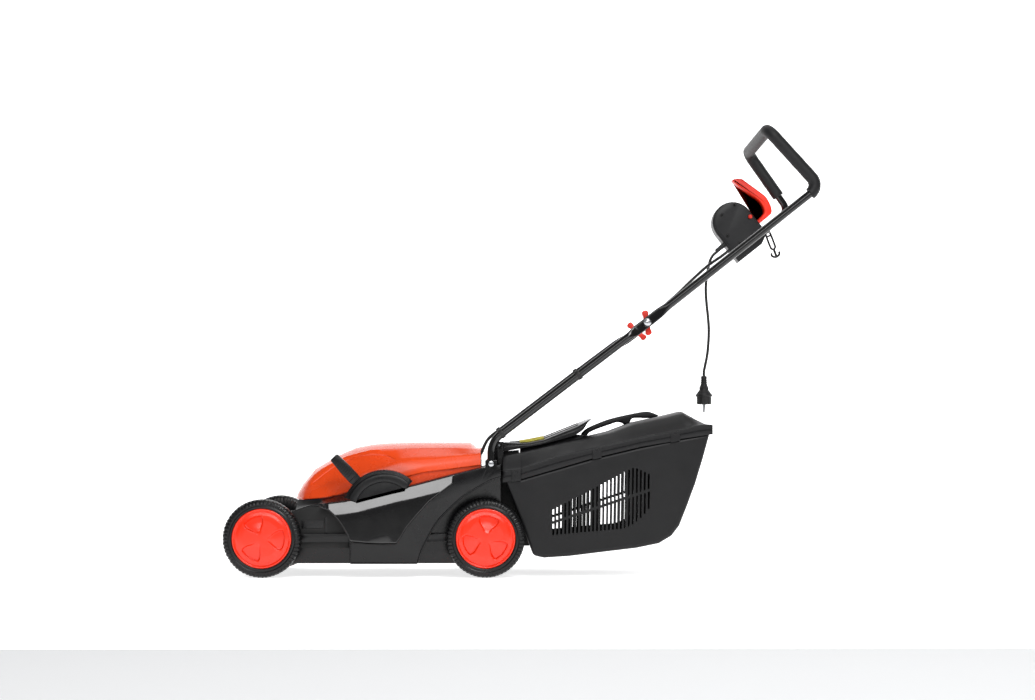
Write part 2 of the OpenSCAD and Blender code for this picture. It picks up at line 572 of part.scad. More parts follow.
module grip_foam() color("#38383b") difference() {
    swept(rounded(foam_path, grip_bend_r), foam_d, tube_sides);
    swept(rounded(grip_path(45), grip_bend_r), tube_d, tube_sides);
}
module fold_bolts() color("#d3d5d8") both_sides() union() {
    rod_y(fold_pt[0], -handle_y - 0.2 - plate_t - 4, -handle_y - 0.2 - plate_t - 0.3, fold_pt[1], 17);
    rod_y(fold_pt[0], -handle_y - 9, -handle_y + 24, fold_pt[1], 8);
}
module wing_knob(x, z) difference() {
    union() {
        rod_y(x, -handle_y + 0.6 + plate_t, -handle_y + 20 + plate_t, z, 22);
        for (a = [0, 180]) translate([x, -handle_y + 1.5 + plate_t, z]) rotate([0, -a - 100, 0])
            ends(0, 15) union() {
                translate([0, -6]) square([20, 12]);
                translate([20, 0]) circle(d = 14);
            }
    }
    rod_y(x, -handle_y, -handle_y + 18 + plate_t, z, 8.16);
}
module wing_knob_left() color("#c22a1a") wing_knob(fold_pt[0], fold_pt[1]);
module wing_knob_right() color("#e8432a") mirror([0, 1, 0]) wing_knob(fold_pt[0], fold_pt[1]);
// Where the cable lies in a clip, above the lower tube and inward of it
clip_n = 9.5;
clip_y = 12;
module cable_clips() color("#161618") for (s = [-397, -188]) place([fold_pt[0], fold_pt[1]], -handle_y)
    rotate([0, -lower_a, 0]) translate([s, 0, 0]) rotate([0, 90, 0]) difference() {
        union() {
            cylinder(h = 9, d = tube_d + 5, center = true);
            translate([-clip_n, clip_y, 0]) cylinder(h = 9, d = cable_d + 5, center = true);
        }
        cylinder(h = 20, d = tube_d, center = true);
        translate([-clip_n, clip_y, 0]) cylinder(h = 20, d = cable_d + 0.6, center = true);
    }

// ---- switch box on the right-hand handle tube ----
box_pt = [500, fold_pt[1] + (500 - fold_pt[0]) * tan(upper_a)];
module on_tube() place(box_pt, 0) rotate([0, -upper_a, 0]) children();
module switch_outline() union() {
    polygon([[-9, -21], [60, -21], [78, -12], [84, -2], [86, 6], [86, 61], [-9, 61]]);
    translate([38.5, 61]) circle(r = 47.5, $fn = 96);
}
bail_pivot = [66, 24];
exit_y = 158;
gland_n = 32;
cable_n = 15;
module switch_box_half(y0, y1, hollow0, hollow1) difference() {
    on_tube() ends(y0, y1) switch_outline();
    on_tube() ends(hollow0, hollow1) difference() {
        inset(wall) switch_outline();
        translate([-20, -30]) square([120, 42]);
    }
    on_tube() translate([0, handle_y, 0]) rotate([0, 90, 0]) cylinder(h = 300, d = tube_d, center = true);
    on_tube() rod_y(bail_pivot[0], 150.5, 199.5, bail_pivot[1], 8.16);
    on_tube() translate([70, 159.7, 11.5]) cube([30, 32.6, 51.5]);
    on_tube() rod_y(78, 140, hollow1, 46, 10.2);
    on_tube() translate([-20, exit_y, gland_n]) rotate([0, 90, 0]) cylinder(h = 30, d = 7.2);
    on_tube() translate([-20, exit_y, cable_n]) rotate([0, 90, 0]) cylinder(h = 30, d = cable_d + 0.2);
    for (p = [[3, 34], [20, 92], [58, 88], [40, 20]]) on_tube() rod_y(p[0], 140, 152, p[1], 4);
}
module switch_box_inner() color("#38383b") switch_box_half(150, handle_y, 150 + wall, 180);
module switch_box_outer() color("#38383b") switch_box_half(handle_y, 200, 170, 200 - wall);
module bail_lever() color("#ee3a24") {
    on_tube() translate([bail_pivot[0], 0, bail_pivot[1]]) {
        ends(160, 192) difference() {
            union() {
                circle(d = 16);
                translate([0, -7]) square([22, 14]);
                polygon([[14, -7], [26, -5.5], [34, 2], [47, 34], [48, 52], [52, 60], [44, 112], [40, 125],
                    [30, 118], [34, 108], [37, 62], [33, 52], [32, 36], [14, 7]]);
            }
        }
        rod_y(0, 151, 199, 0, 8);
    }
}
module lock_button() color("#c22a1a") on_tube() rod_y(78, 146, 158, 46, 10);
module box_gland() color("#1b1b1d") on_tube() translate([-9, exit_y, gland_n]) rotate([0, -90, 0]) difference() {
    union() {
        translate([0, 0, -7]) cylinder(h = 8, d = 7);
        cylinder(h = 26, d1 = 12, d2 = 8.6);
    }
    translate([0, 0, 16]) cylinder(h = 11, d = cord_d);
}
module pigtail_cord() color("#1a1a1c") swept(pigtail_route, cord_d, 8);
plug_x = 423;
plug_y = 156;
plug_top = 445;
module plug_body() color("#202022") translate([plug_x, plug_y, plug_top - 66]) rotate_extrude()
    polygon([[0, 0], [15, 0], [17, 2], [17, 18], [19.5, 19], [19.5, 23], [17, 24], [15, 30], [10.5, 34],
    [10.5, 38], [7.5, 46], [7.5, 50], [6.5, 66], [0, 66]]);
module plug_pins() color("#c9cbcd") for (y = [-9.5, 9.5]) translate([plug_x, plug_y + y, plug_top - 85])
    cylinder(h = 19, d = 4.8);
module cable_hook() color("#29292b") on_tube() translate([93, handle_y, 0]) difference() {
    union() {
        rotate([0, 90, 0]) cylinder(h = 10, d = tube_d + 6, center = true);
        rotate([0, 18, 0]) {
            ends(-4, 4) difference() {
                translate([-7, -52]) square([14, 43]);
                translate([-3.5, -48]) square([7, 30]);
            }
            ends(-4, 4) translate([-3, -69]) square([6, 18]);
            ends(-4, 4) translate([0, -60]) difference() {
                circle(r = 11);
                circle(r = 6.5);
                translate([-12, 0]) square([24, 12]);
            }
        }
    }
    rotate([0, 90, 0]) cylinder(h = 60, d = tube_d, center = true);
}
module motor_cable_lower() color("#141416") swept(cable_lower_route, cable_d, 8);
module motor_cable_upper() color("#141416") swept(cable_upper_route, cable_d, 8);

deck();
side_panel_left();
side_panel_right();
lever_guard();
hood();
hood_screws();
motor_housing_lower();
motor_housing_upper();
stator_core();
stator_windings();
rotor();
motor_bearings();
cooling_fan();
motor_bolts();
run_capacitor();
blade_carrier();
blade();
blade_bolt();
front_axle();
rear_axle();
axle_straps();
link_rod();
height_lever();
front_wheel_left();
front_wheel_right();
rear_wheel_left();
rear_wheel_right();
front_hubcap_left();
front_hubcap_right();
rear_hubcap_left();
rear_hubcap_right();
front_axle_clips();
rear_axle_clips();
flap();
flap_rod();
flap_spring();
box_body();
box_lid();
carry_handle();
lower_tube_left();
lower_tube_right();
tube_screws();
upper_handle();
grip_foam();
fold_bolts();
wing_knob_left();
wing_knob_right();
cable_clips();
switch_box_inner();
switch_box_outer();
bail_lever();
lock_button();
box_gland();
pigtail_cord();
plug_body();
plug_pins();
cable_hook();
motor_cable_lower();
motor_cable_upper();
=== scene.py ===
import json
import math

import bmesh
import bpy
from mathutils import Matrix, Vector


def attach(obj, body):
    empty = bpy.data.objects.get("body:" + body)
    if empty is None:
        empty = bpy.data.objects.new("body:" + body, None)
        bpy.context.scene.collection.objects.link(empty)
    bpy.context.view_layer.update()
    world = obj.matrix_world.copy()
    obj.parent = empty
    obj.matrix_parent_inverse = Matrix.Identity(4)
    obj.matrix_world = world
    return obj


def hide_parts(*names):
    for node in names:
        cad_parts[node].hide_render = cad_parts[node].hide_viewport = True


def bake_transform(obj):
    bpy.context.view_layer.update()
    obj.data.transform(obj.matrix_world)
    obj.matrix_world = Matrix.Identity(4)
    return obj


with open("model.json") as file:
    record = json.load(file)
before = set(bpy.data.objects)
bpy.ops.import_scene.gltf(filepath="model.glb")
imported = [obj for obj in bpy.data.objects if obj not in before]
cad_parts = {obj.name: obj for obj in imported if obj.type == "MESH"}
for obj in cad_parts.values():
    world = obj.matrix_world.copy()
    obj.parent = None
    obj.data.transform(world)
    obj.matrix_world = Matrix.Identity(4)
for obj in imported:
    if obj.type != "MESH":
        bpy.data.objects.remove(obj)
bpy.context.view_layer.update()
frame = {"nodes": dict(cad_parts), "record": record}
NODES = frame["nodes"]
RECORD = frame["record"]
SLOTS = {p["node"]: p["material_slot"] for p in RECORD["subparts"]}

MM = 0.001


# ---------------------------------------------------------------- camera and studio

# Where the camera stands, in metres, and how far its line of sight drifts right and up for each metre
CAMERA_X = -0.052
CAMERA_DISTANCE = 4.5
CAMERA_HEIGHT = 0.28
SIGHT_RIGHT = 0.00875
SIGHT_UP = 0.0485


def look_at(obj, target):
    obj.rotation_euler = (Vector(target) - obj.location).to_track_quat("-Z", "Y").to_euler()


def make_camera():
    """A long lens about 4.3 m to the machine's left, near the height of the hood."""
    data = bpy.data.cameras.new("camera")
    data.sensor_width = 36
    data.lens = 69.6
    camera = bpy.data.objects.new("camera", data)
    bpy.context.scene.collection.objects.link(camera)
    camera.location = (CAMERA_X, -CAMERA_DISTANCE, CAMERA_HEIGHT)
    look_at(camera, (CAMERA_X + CAMERA_DISTANCE * SIGHT_RIGHT, 0, CAMERA_HEIGHT + CAMERA_DISTANCE * SIGHT_UP))
    bpy.context.scene.camera = camera


def softbox(name, place, target, width, height, watts):
    data = bpy.data.lights.new(name, "AREA")
    data.shape = "RECTANGLE"
    data.size, data.size_y, data.energy = width, height, watts
    light = bpy.data.objects.new(name, data)
    bpy.context.scene.collection.objects.link(light)
    light.location = place
    look_at(light, target)


def sheet_of_paper(name, corners, finish):
    mesh = bpy.data.meshes.new(name)
    mesh.from_pydata(corners, [], [range(len(corners))])
    mesh.materials.append(finish)
    paper = bpy.data.objects.new(name, mesh)
    bpy.context.scene.collection.objects.link(paper)


def make_studio():
    """A glowing white sweep, a high soft key, a long strip for the gloss, one light above and one behind."""
    bpy.context.scene.view_settings.view_transform = "Standard"
    world = bpy.data.worlds.new("studio")
    bpy.context.scene.world = world
    world.use_nodes = True
    background = world.node_tree.nodes["Background"]
    background.inputs["Color"].default_value = (1, 1, 1, 1)
    background.inputs["Strength"].default_value = 0.2
    softbox("key_softbox", (1.0, -3.4, 3.3), (-0.1, 0, 0.3), 2.0, 1.3, 100)
    softbox("strip_softbox", (-0.3, -5.6, 2.35), (-0.1, 0, 0.2), 4.2, 0.75, 62)
    softbox("top_softbox", (0.1, 0.3, 3.0), (0, 0, 0.3), 2.4, 1.0, 16)
    softbox("rim_softbox", (2.4, 2.2, 2.2), (0.1, 0, 0.4), 1.6, 1.6, 18)
    paper = material("matt_white_paper", "#f9f9f9", roughness=0.95, glow=0.78)
    sheet_of_paper("floor", [(-6, -1.7, -0.0005), (6, -1.7, -0.0005), (6, 7, -0.0005), (-6, 7, -0.0005)],
                   paper)
    sheet_of_paper("floor_front", [(-9, -9, -0.0006), (9, -9, -0.0006), (9, -1.7, -0.0006),
                                   (-9, -1.7, -0.0006)],
                   material("shaded_white_paper", "#e4e5e6", roughness=0.95))
    sheet_of_paper("backdrop", [(-12, 7, -0.0005), (12, 7, -0.0005), (12, 7, 9), (-12, 7, 9)],
                   material("lit_white_backdrop", "#fcfcfd", roughness=0.95, glow=0.95))


# ---------------------------------------------------------------- materials

def linear(hex_colour):
    channels = [int(hex_colour[i:i + 2], 16) / 255 for i in (1, 3, 5)]
    return tuple(c / 12.92 if c <= 0.04045 else ((c + 0.055) / 1.055) ** 2.4 for c in channels) + (1,)


def add(tree, kind, settings=None, **links):
    """One shader node with its settings and its input values or links."""
    node = tree.nodes.new(kind)
    for key, value in (settings or {}).items():
        setattr(node, key, value)
    for key, value in links.items():
        socket = node.inputs[int(key[1:])] if key[0] == "_" else node.inputs[key.replace("_", " ")]
        if isinstance(value, bpy.types.NodeSocket):
            tree.links.new(value, socket)
        else:
            socket.default_value = value
    return node


def ramp(tree, factor, stops):
    node = add(tree, "ShaderNodeValToRGB", _0=factor)
    while len(node.color_ramp.elements) < len(stops):
        node.color_ramp.elements.new(0.5)
    for element, (place, colour) in zip(node.color_ramp.elements, stops):
        element.position, element.color = place, colour
    return node.outputs["Color"]


MATERIALS = {}


def material(name, colour, roughness=0.5, metallic=0.0, ior=1.5, coat=0.0, coat_roughness=0.1,
             glow=0.0, grain_mm=0.0, grain_depth_mm=0.0, tone=0.0, tone_mm=60, rough_spread=0.0, sheen=0.0,
             stretch=(1, 1, 1)):
    """A surface with one base colour, its moulded or sprayed grain, and slow changes of tone and gloss."""
    if name in MATERIALS:
        return MATERIALS[name]
    made = bpy.data.materials.new(name)
    made.use_nodes = True
    tree = made.node_tree
    shader = tree.nodes["Principled BSDF"]
    base = linear(colour)
    shader.inputs["Base Color"].default_value = base
    shader.inputs["Roughness"].default_value = roughness
    shader.inputs["Metallic"].default_value = metallic
    if not metallic:
        shader.inputs["IOR"].default_value = ior
    shader.inputs["Coat Weight"].default_value = coat
    shader.inputs["Coat Roughness"].default_value = coat_roughness
    shader.inputs["Sheen Weight"].default_value = sheen
    if glow:
        shader.inputs["Emission Color"].default_value = base
        shader.inputs["Emission Strength"].default_value = glow
    place = add(tree, "ShaderNodeTexCoord").outputs["Object"]
    place = add(tree, "ShaderNodeMapping", Vector=place, Scale=stretch).outputs["Vector"]
    if tone:
        cloud = add(tree, "ShaderNodeTexNoise", Vector=place, Scale=1 / (tone_mm * MM), Detail=3.0)
        dark = tuple(c * (1 - tone) for c in base[:3]) + (1,)
        light = tuple(min(1, c * (1 + tone)) for c in base[:3]) + (1,)
        mixed = ramp(tree, cloud.outputs["Fac"], [(0.35, dark), (0.65, light)])
        tree.links.new(mixed, shader.inputs["Base Color"])
    if rough_spread:
        smear = add(tree, "ShaderNodeTexNoise", Vector=place, Scale=1 / (tone_mm * 0.7 * MM), Detail=4.0)
        spread = add(tree, "ShaderNodeMapRange", Value=smear.outputs["Fac"], _1=0.3, _2=0.7,
                     _3=roughness - rough_spread, _4=roughness + rough_spread)
        tree.links.new(spread.outputs["Result"], shader.inputs["Roughness"])
    if grain_mm:
        grain = add(tree, "ShaderNodeTexNoise", Vector=place, Scale=1 / (grain_mm * MM), Detail=2.0)
        bump = add(tree, "ShaderNodeBump", Height=grain.outputs["Fac"], Strength=1.0,
                   Distance=grain_depth_mm * MM)
        tree.links.new(bump.outputs["Normal"], shader.inputs["Normal"])
    MATERIALS[name] = made
    return made


def finish_for(slot):
    """The material of each of the record's slots."""
    finishes = {
        # moulded polypropylene with a fine spark-eroded grain: a soft, even sheen
        "deck_black": dict(colour="#08080a", roughness=0.25, ior=1.42, grain_mm=1.6, grain_depth_mm=0.04,
                           tone=0.12, rough_spread=0.06),
        # high-gloss ABS trim: a mirror-like skin over black
        "panel_black": dict(colour="#060607", roughness=0.12, ior=1.54, coat=0.6, coat_roughness=0.04,
                            rough_spread=0.03, tone=0.1),
        # through-coloured ABS, semi-gloss from a polished mould
        "hood_red": dict(colour="#f24a0c", roughness=0.27, ior=1.5, coat=0.1, coat_roughness=0.15,
                         grain_mm=4, grain_depth_mm=0.005, tone=0.03, rough_spread=0.02),
        # the same ABS in the hub caps, a little deeper in colour
        "cap_red": dict(colour="#f02c08", roughness=0.24, ior=1.5, coat=0.15, coat_roughness=0.15,
                        grain_mm=3, grain_depth_mm=0.005, tone=0.03, rough_spread=0.02),
        # glass-filled nylon of the height lever and its guard: satin, fine grain
        "lever_black": dict(colour="#08080a", roughness=0.3, ior=1.42, grain_mm=1.6, grain_depth_mm=0.05,
                            tone=0.1, rough_spread=0.05),
        # hard moulded tyre: satin, uneven in gloss
        "tyre_black": dict(colour="#08080a", roughness=0.32, ior=1.42, grain_mm=2, grain_depth_mm=0.06,
                           tone=0.15, rough_spread=0.08),
        # injection-moulded polypropylene of the grass box: coarser grain, duller
        "box_black": dict(colour="#0d0d0f", roughness=0.42, ior=1.4, grain_mm=2.2, grain_depth_mm=0.12,
                          tone=0.1, rough_spread=0.06),
        # steel tube under a gloss powder coat
        "tube_black": dict(colour="#030304", roughness=0.14, ior=1.5, coat=0.3, coat_roughness=0.06,
                           grain_mm=3, grain_depth_mm=0.02, tone=0.1),
        # closed-cell foam sleeve: matt, with a faint fuzz at its edges
        "foam_grey": dict(colour="#121214", roughness=0.55, ior=1.4, grain_mm=1.5, grain_depth_mm=0.12,
                          tone=0.12, sheen=0.05),
        # ABS switch housing: satin
        "switch_grey": dict(colour="#0e0e11", roughness=0.38, ior=1.42, grain_mm=1.6, grain_depth_mm=0.06,
                            tone=0.08, rough_spread=0.05),
        # moulded nylon switch lever: satin
        "bail_red": dict(colour="#f02a0c", roughness=0.33, ior=1.5, grain_mm=2.5, grain_depth_mm=0.03,
                         tone=0.05),
        # moulded nylon wing knob: satin
        "knob_red": dict(colour="#d8260c", roughness=0.36, ior=1.5, grain_mm=2, grain_depth_mm=0.03,
                         tone=0.05),
        # zinc-plated bolts, screws and washers
        "zinc": dict(colour="#c4c6ca", roughness=0.28, metallic=1.0, grain_mm=1.5, grain_depth_mm=0.02,
                     tone=0.08, rough_spread=0.08),
        # bare drawn steel rod and sheet
        "axle_steel": dict(colour="#8f9296", roughness=0.38, metallic=1.0, grain_mm=1.5,
                           grain_depth_mm=0.03, tone=0.12, rough_spread=0.1),
        # hardened steel under a thin dark coat
        "blade_steel": dict(colour="#2b2d30", roughness=0.4, metallic=0.6, grain_mm=2,
                            grain_depth_mm=0.04, tone=0.15, rough_spread=0.1),
        # die-cast aluminium with a sandy skin
        "motor_alu": dict(colour="#b9bbbe", roughness=0.45, metallic=1.0, grain_mm=1.2,
                          grain_depth_mm=0.08, tone=0.08, rough_spread=0.08),
        # stack of electrical steel sheets, which shows as fine level lines
        "core_steel": dict(colour="#6a6d72", roughness=0.45, metallic=1.0, grain_mm=0.8,
                           grain_depth_mm=0.08, tone=0.1, stretch=(0.1, 0.1, 1)),
        # enamelled copper wire, wound in level turns
        "copper": dict(colour="#b5652a", roughness=0.3, metallic=1.0, grain_mm=1.0,
                       grain_depth_mm=0.15, tone=0.15, stretch=(0.2, 0.2, 1)),
        # white thermoplastic can
        "capacitor_white": dict(colour="#c9c9c5", roughness=0.45, grain_mm=2, grain_depth_mm=0.03,
                                tone=0.05),
        # soft PVC sheath: dull, almost smooth
        "cord_black": dict(colour="#101011", roughness=0.5, ior=1.5, grain_mm=1.2, grain_depth_mm=0.03,
                           tone=0.1, rough_spread=0.06),
        # bright nickel plate on brass
        "pin_nickel": dict(colour="#c9cbcd", roughness=0.18, metallic=1.0, grain_mm=2,
                           grain_depth_mm=0.01, tone=0.05),
        # matt black plastic of hollows and dark inner parts, set darker than the other blacks as painted
        # shade in those hollows
        "inner_black": dict(colour="#030303", roughness=0.65, grain_mm=1.6, grain_depth_mm=0.05,
                            tone=0.08),
    }
    return material(slot, **finishes[slot])


def paint_nodes():
    for name, node in NODES.items():
        node.data.materials.clear()
        node.data.materials.append(finish_for(SLOTS[name]))


# ---------------------------------------------------------------- shared building blocks

def smooth(t):
    t = min(1.0, max(0.0, t))
    return t * t * (3 - 2 * t)


def on_curve(points, x):
    """Height of a polyline, given as (x, z) with x rising, at x."""
    if x <= points[0][0]:
        return points[0][1]
    for (x0, z0), (x1, z1) in zip(points, points[1:]):
        if x <= x1:
            return z0 + (z1 - z0) * (x - x0) / (x1 - x0)
    return points[-1][1]


def eased(points, steps=6):
    """A Catmull-Rom curve through points of any dimension."""
    pts = [Vector(p) for p in points]
    out = []
    for i in range(len(pts) - 1):
        a, b = pts[i], pts[i + 1]
        before = pts[i - 1] if i else a + (a - b)
        after = pts[i + 2] if i + 2 < len(pts) else b + (b - a)
        for k in range(steps):
            t = k / steps
            out.append(0.5 * ((2 * a) + (b - before) * t + (2 * before - 5 * a + 4 * b - after) * t * t
                              + (3 * a - before - 3 * b + after) * t ** 3))
    return out + [pts[-1]]


def offset_outline(points, distance):
    """A closed XZ outline moved inward by distance (outward when negative), corners mitred."""
    area = sum(a[0] * b[1] - b[0] * a[1] for a, b in zip(points, points[1:] + points[:1]))
    sign = 1 if area > 0 else -1
    out = []
    for i, p in enumerate(points):
        a = Vector(points[i - 1])
        b = Vector(p)
        c = Vector(points[(i + 1) % len(points)])
        n0 = Vector((-(b - a).y, (b - a).x)).normalized() * sign
        n1 = Vector((-(c - b).y, (c - b).x)).normalized() * sign
        n = n0 + n1
        n = n / max(0.25, n.length_squared / 2)
        out.append(tuple(b + n * distance))
    return out


def round_corners(points, radius, steps=4, closed=True):
    """An outline whose corners are turned into arcs of up to the given radius."""
    pts = [Vector(p) for p in points]
    out = []
    count = len(pts)
    for i, p in enumerate(pts):
        if not closed and i in (0, count - 1):
            out.append(tuple(p))
            continue
        a = pts[i - 1] - p
        b = pts[(i + 1) % count] - p
        angle = a.angle(b)
        if angle > math.radians(176):
            out.append(tuple(p))
            continue
        reach = min(radius / math.tan(angle / 2), 0.45 * a.length, 0.45 * b.length)
        start, end = p + a.normalized() * reach, p + b.normalized() * reach
        for k in range(steps + 1):
            t = k / steps
            out.append(tuple(start * (1 - t) ** 2 + p * 2 * t * (1 - t) + end * t * t))
    return out


def finish_piece(name, bm, slot, body, replaces=(), sharp=32, normals=True):
    """A finished bmesh, in millimetres, becomes a piece that rides on a body and stands for CAD nodes."""
    if normals:
        bmesh.ops.recalc_face_normals(bm, faces=bm.faces)
    bmesh.ops.scale(bm, vec=(MM, MM, MM), verts=bm.verts)
    return finish_metres(name, bm, slot, body, replaces, sharp)


def finish_metres(name, bm, slot, body, replaces=(), sharp=32):
    mesh = bpy.data.meshes.new(name)
    bm.to_mesh(mesh)
    bm.free()
    mesh.shade_smooth()
    mesh.set_sharp_from_angle(angle=math.radians(sharp))
    mesh.materials.append(finish_for(slot))
    obj = bpy.data.objects.new(name, mesh)
    bpy.context.scene.collection.objects.link(obj)
    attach(obj, body)
    if replaces:
        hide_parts(*replaces)
    return obj


BODY_OF = {node: body for body, nodes in RECORD["behaviour"]["bodies"].items() for node in nodes}


def rounded_copy(node, width, segments=2, bend=28, sharp=32):
    """The CAD node's own mesh with its sharp edges rounded, shown in place of the node."""
    bm = bmesh.new()
    bm.from_mesh(NODES[node].data)
    bmesh.ops.remove_doubles(bm, verts=bm.verts, dist=0.01 * MM)
    bmesh.ops.dissolve_limit(bm, angle_limit=math.radians(0.6), verts=bm.verts, edges=bm.edges)
    edges = [e for e in bm.edges if len(e.link_faces) == 2
             and e.calc_face_angle(0) > math.radians(bend) and e.calc_length() > 0.3 * MM]
    bmesh.ops.bevel(bm, geom=edges, offset=width * MM, offset_type="OFFSET", segments=segments,
                    profile=0.5, affect="EDGES", clamp_overlap=False, material=-1)
    bmesh.ops.recalc_face_normals(bm, faces=bm.faces)
    return finish_metres(node + "_shell", bm, SLOTS[node], BODY_OF[node], (node,), sharp)


def ring_face(bm, points):
    return [bm.verts.new(p) for p in points]


def bridge(bm, rings, closed=True):
    """Quads between each ring of vertices and the next."""
    for a, b in zip(rings, rings[1:]):
        count = len(a)
        for i in range(count if closed else count - 1):
            j = (i + 1) % count
            bm.faces.new((a[i], a[j], b[j], b[i]))


def loft(rings, closed=True, caps=(True, True)):
    """A bmesh skin over rings of points, with its ends filled."""
    bm = bmesh.new()
    made = [ring_face(bm, r) for r in rings]
    bridge(bm, made, closed)
    if closed and caps[0]:
        bm.faces.new(made[0])
    if closed and caps[1]:
        bm.faces.new(made[-1][::-1])
    return bm


def join(target, other):
    """Adds bmesh other to target and frees it."""
    mesh = bpy.data.meshes.new("join")
    other.to_mesh(mesh)
    other.free()
    target.from_mesh(mesh)
    bpy.data.meshes.remove(mesh)
    return target


def along_y(points, y0, y1, round_mm=0.0, steps=3):
    """A plate with the XZ outline points from y0 to y1, its two faces' edges rounded."""
    rings = []
    lo, hi = min(y0, y1), max(y0, y1)
    for y, turn in ([(lo, 1)] + [(hi, -1)]):
        for k in range(steps + 1):
            angle = math.radians(90) * k / steps
            angle = angle if turn == 1 else math.radians(90) - angle
            inset = round_mm * (1 - math.sin(angle))
            depth = round_mm * (1 - math.cos(angle))
            outline = offset_outline(points, inset) if round_mm else points
            rings.append([(x, y + turn * depth, z) for x, z in outline])
            if not round_mm:
                break
    return loft(rings)


def path_frames(path):
    """Each point of a path with two directions square to it, carried along without twist."""
    pts = [Vector(p) for p in path]
    out = []
    side = None
    for i, p in enumerate(pts):
        t = (pts[min(i + 1, len(pts) - 1)] - pts[max(i - 1, 0)]).normalized()
        if side is None:
            side = t.orthogonal().normalized()
        side = (side - t * side.dot(t)).normalized()
        out.append((p, side, t.cross(side), t))
    return out


def tube(path, radius, sides=20, squash=(1, 1), caps=(True, True)):
    """A round bar along a path. radius is one number or one per point."""
    rings = []
    for i, (p, u, v, _) in enumerate(path_frames(path)):
        r = radius[i] if isinstance(radius, (list, tuple)) else radius
        rings.append([tuple(p + u * (r * squash[0] * math.cos(2 * math.pi * k / sides))
                            + v * (r * squash[1] * math.sin(2 * math.pi * k / sides)))
                      for k in range(sides)])
    return loft(rings, caps=caps)


def lathe(profile, centre, axis, sides=48, wave=None, start=0.0, turn=360.0, up=None):
    """Turns a profile of (radius, distance along axis) about an axis. wave(angle, r, a) may move a point."""
    axis = Vector(axis).normalized()
    u = Vector(up) if up else (Vector((0, 0, 1)) if abs(axis.z) < 0.9 else Vector((1, 0, 0)))
    u = (u - axis * u.dot(axis)).normalized()
    v = axis.cross(u)
    bm = bmesh.new()
    whole = turn >= 360
    rings = []
    for k in range(sides if whole else sides + 1):
        angle = math.radians(start + turn * k / sides)
        ring = []
        for r, a in profile:
            if wave:
                r, a = wave(angle, r, a)
            out = u * math.cos(angle) + v * math.sin(angle)
            ring.append(bm.verts.new(Vector(centre) + axis * a + out * r))
        rings.append(ring)
    if whole:
        rings.append(rings[0])
    bridge(bm, rings, closed=False)
    bmesh.ops.remove_doubles(bm, verts=bm.verts, dist=0.001)
    return bm


# ---------------------------------------------------------------- wheels

LUGS = 60
WHEELS = {"front_wheel_left": (-562.6, -1, 116), "front_wheel_right": (-562.6, 1, 80),
          "rear_wheel_left": (-82.6, -1, 80), "rear_wheel_right": (-82.6, 1, 40)}
SPINDLE_Z = 84


def make_tyre(node, x, side):
    """Moulded tyre: tread lugs, a ticked shoulder and a smooth side wall around the hub cap."""
    profile = [(5.1, -13), (50, -13), (56, -13), (59, -15.4), (61, -16), (70, -16), (75, -15.6),
               (79.5, -14.4), (82.4, -12), (84, -8.5), (84, -3), (84, 3), (84, 8.5), (82.4, 12), (79.5, 14.4),
               (75.5, 15.6), (73, 16), (72.2, 15), (70.6, 14.6), (69.2, 15.4), (68.2, 16), (66.2, 16),
               (65, 15.4), (64.4, 14), (64.4, 6), (5.1, 6)]

    def wave(angle, r, a):
        place = (angle * LUGS / (2 * math.pi)) % 1.0
        groove = 1.0 if place > 0.5 else 0.0
        if abs(a) < 4 and r > 83:
            groove = 0.0 if place > 0.5 else 0.35
        if r > 82:
            r -= 2.1 * groove
        elif r > 74:
            a -= math.copysign(1.5 * groove, a)
            r -= 0.4 * groove
        return r, a

    bm = lathe(profile, (x, side * 184, SPINDLE_Z), (0, side, 0), sides=LUGS * 6, wave=wave)
    return finish_piece(node + "_tyre", bm, "tyre_black", BODY_OF[node], (node,), sharp=38)


def make_cap(node, x, side, first):
    """Hub cap with a raised rim and three fan-shaped dimples that ramp up towards the middle."""
    cap = node.replace("wheel", "hubcap")
    spans = 288
    radii = [0.5, 4, 8, 11, 13, 15, 17, 20, 23, 26, 29, 32, 35, 38, 40, 42, 43.5, 45, 46, 47, 48, 49, 50,
             51.5, 53, 55, 57, 58.4, 59.2, 60, 61, 62.2, 63.2, 63.8]
    face = [(0, 1.5), (40, 1.6), (50, 2.6), (57, 4.4), (58.4, 4.2), (59.2, 2.6), (60, 1.4), (61, 1.0),
            (62.2, 1.0), (63.2, 1.4), (63.8, 2.2)]

    def dent(r, angle):
        if not 11 < r < 51:
            return 0.0
        reach = smooth((r - 12) / 5) * smooth((50 - r) / 3.0)
        half = 4 + 17.5 * smooth((r - 12) / 34) ** 0.8
        depth = 0.0
        for i in range(3):
            away = (angle - math.radians(first + 120 * i) + math.pi) % (2 * math.pi) - math.pi
            across = abs(away) * r
            depth = max(depth, smooth((half + 1.6 - across) / 3.2))
        return reach * depth * (2.0 + 4.2 * smooth((r - 12) / 30))

    profile = [(r, -on_curve(face, r)) for r in radii] + [(63.8, -9.8), (58, -9.8), (54, -8.5), (1, -8.5)]
    count = len(radii)
    bm = bmesh.new()
    rings = []
    for k in range(spans):
        angle = 2 * math.pi * k / spans
        ring = []
        for i, (r, a) in enumerate(profile):
            if i < count:
                a -= dent(r, angle)
            ring.append(bm.verts.new((x + r * math.cos(angle), side * (200 + a),
                                      SPINDLE_Z + r * math.sin(angle))))
        rings.append(ring)
    bridge(bm, rings + [rings[0]], closed=False)
    bm.faces.new([r[0] for r in rings])
    bm.faces.new([r[-1] for r in rings][::-1])
    return finish_piece(cap + "_cap", bm, "cap_red", BODY_OF[cap], (cap,), sharp=50)


def make_wheels():
    for node, (x, side, first) in WHEELS.items():
        make_tyre(node, x, side)
        make_cap(node, x, side, first)


# ---------------------------------------------------------------- tubes, grip, bolts and knobs

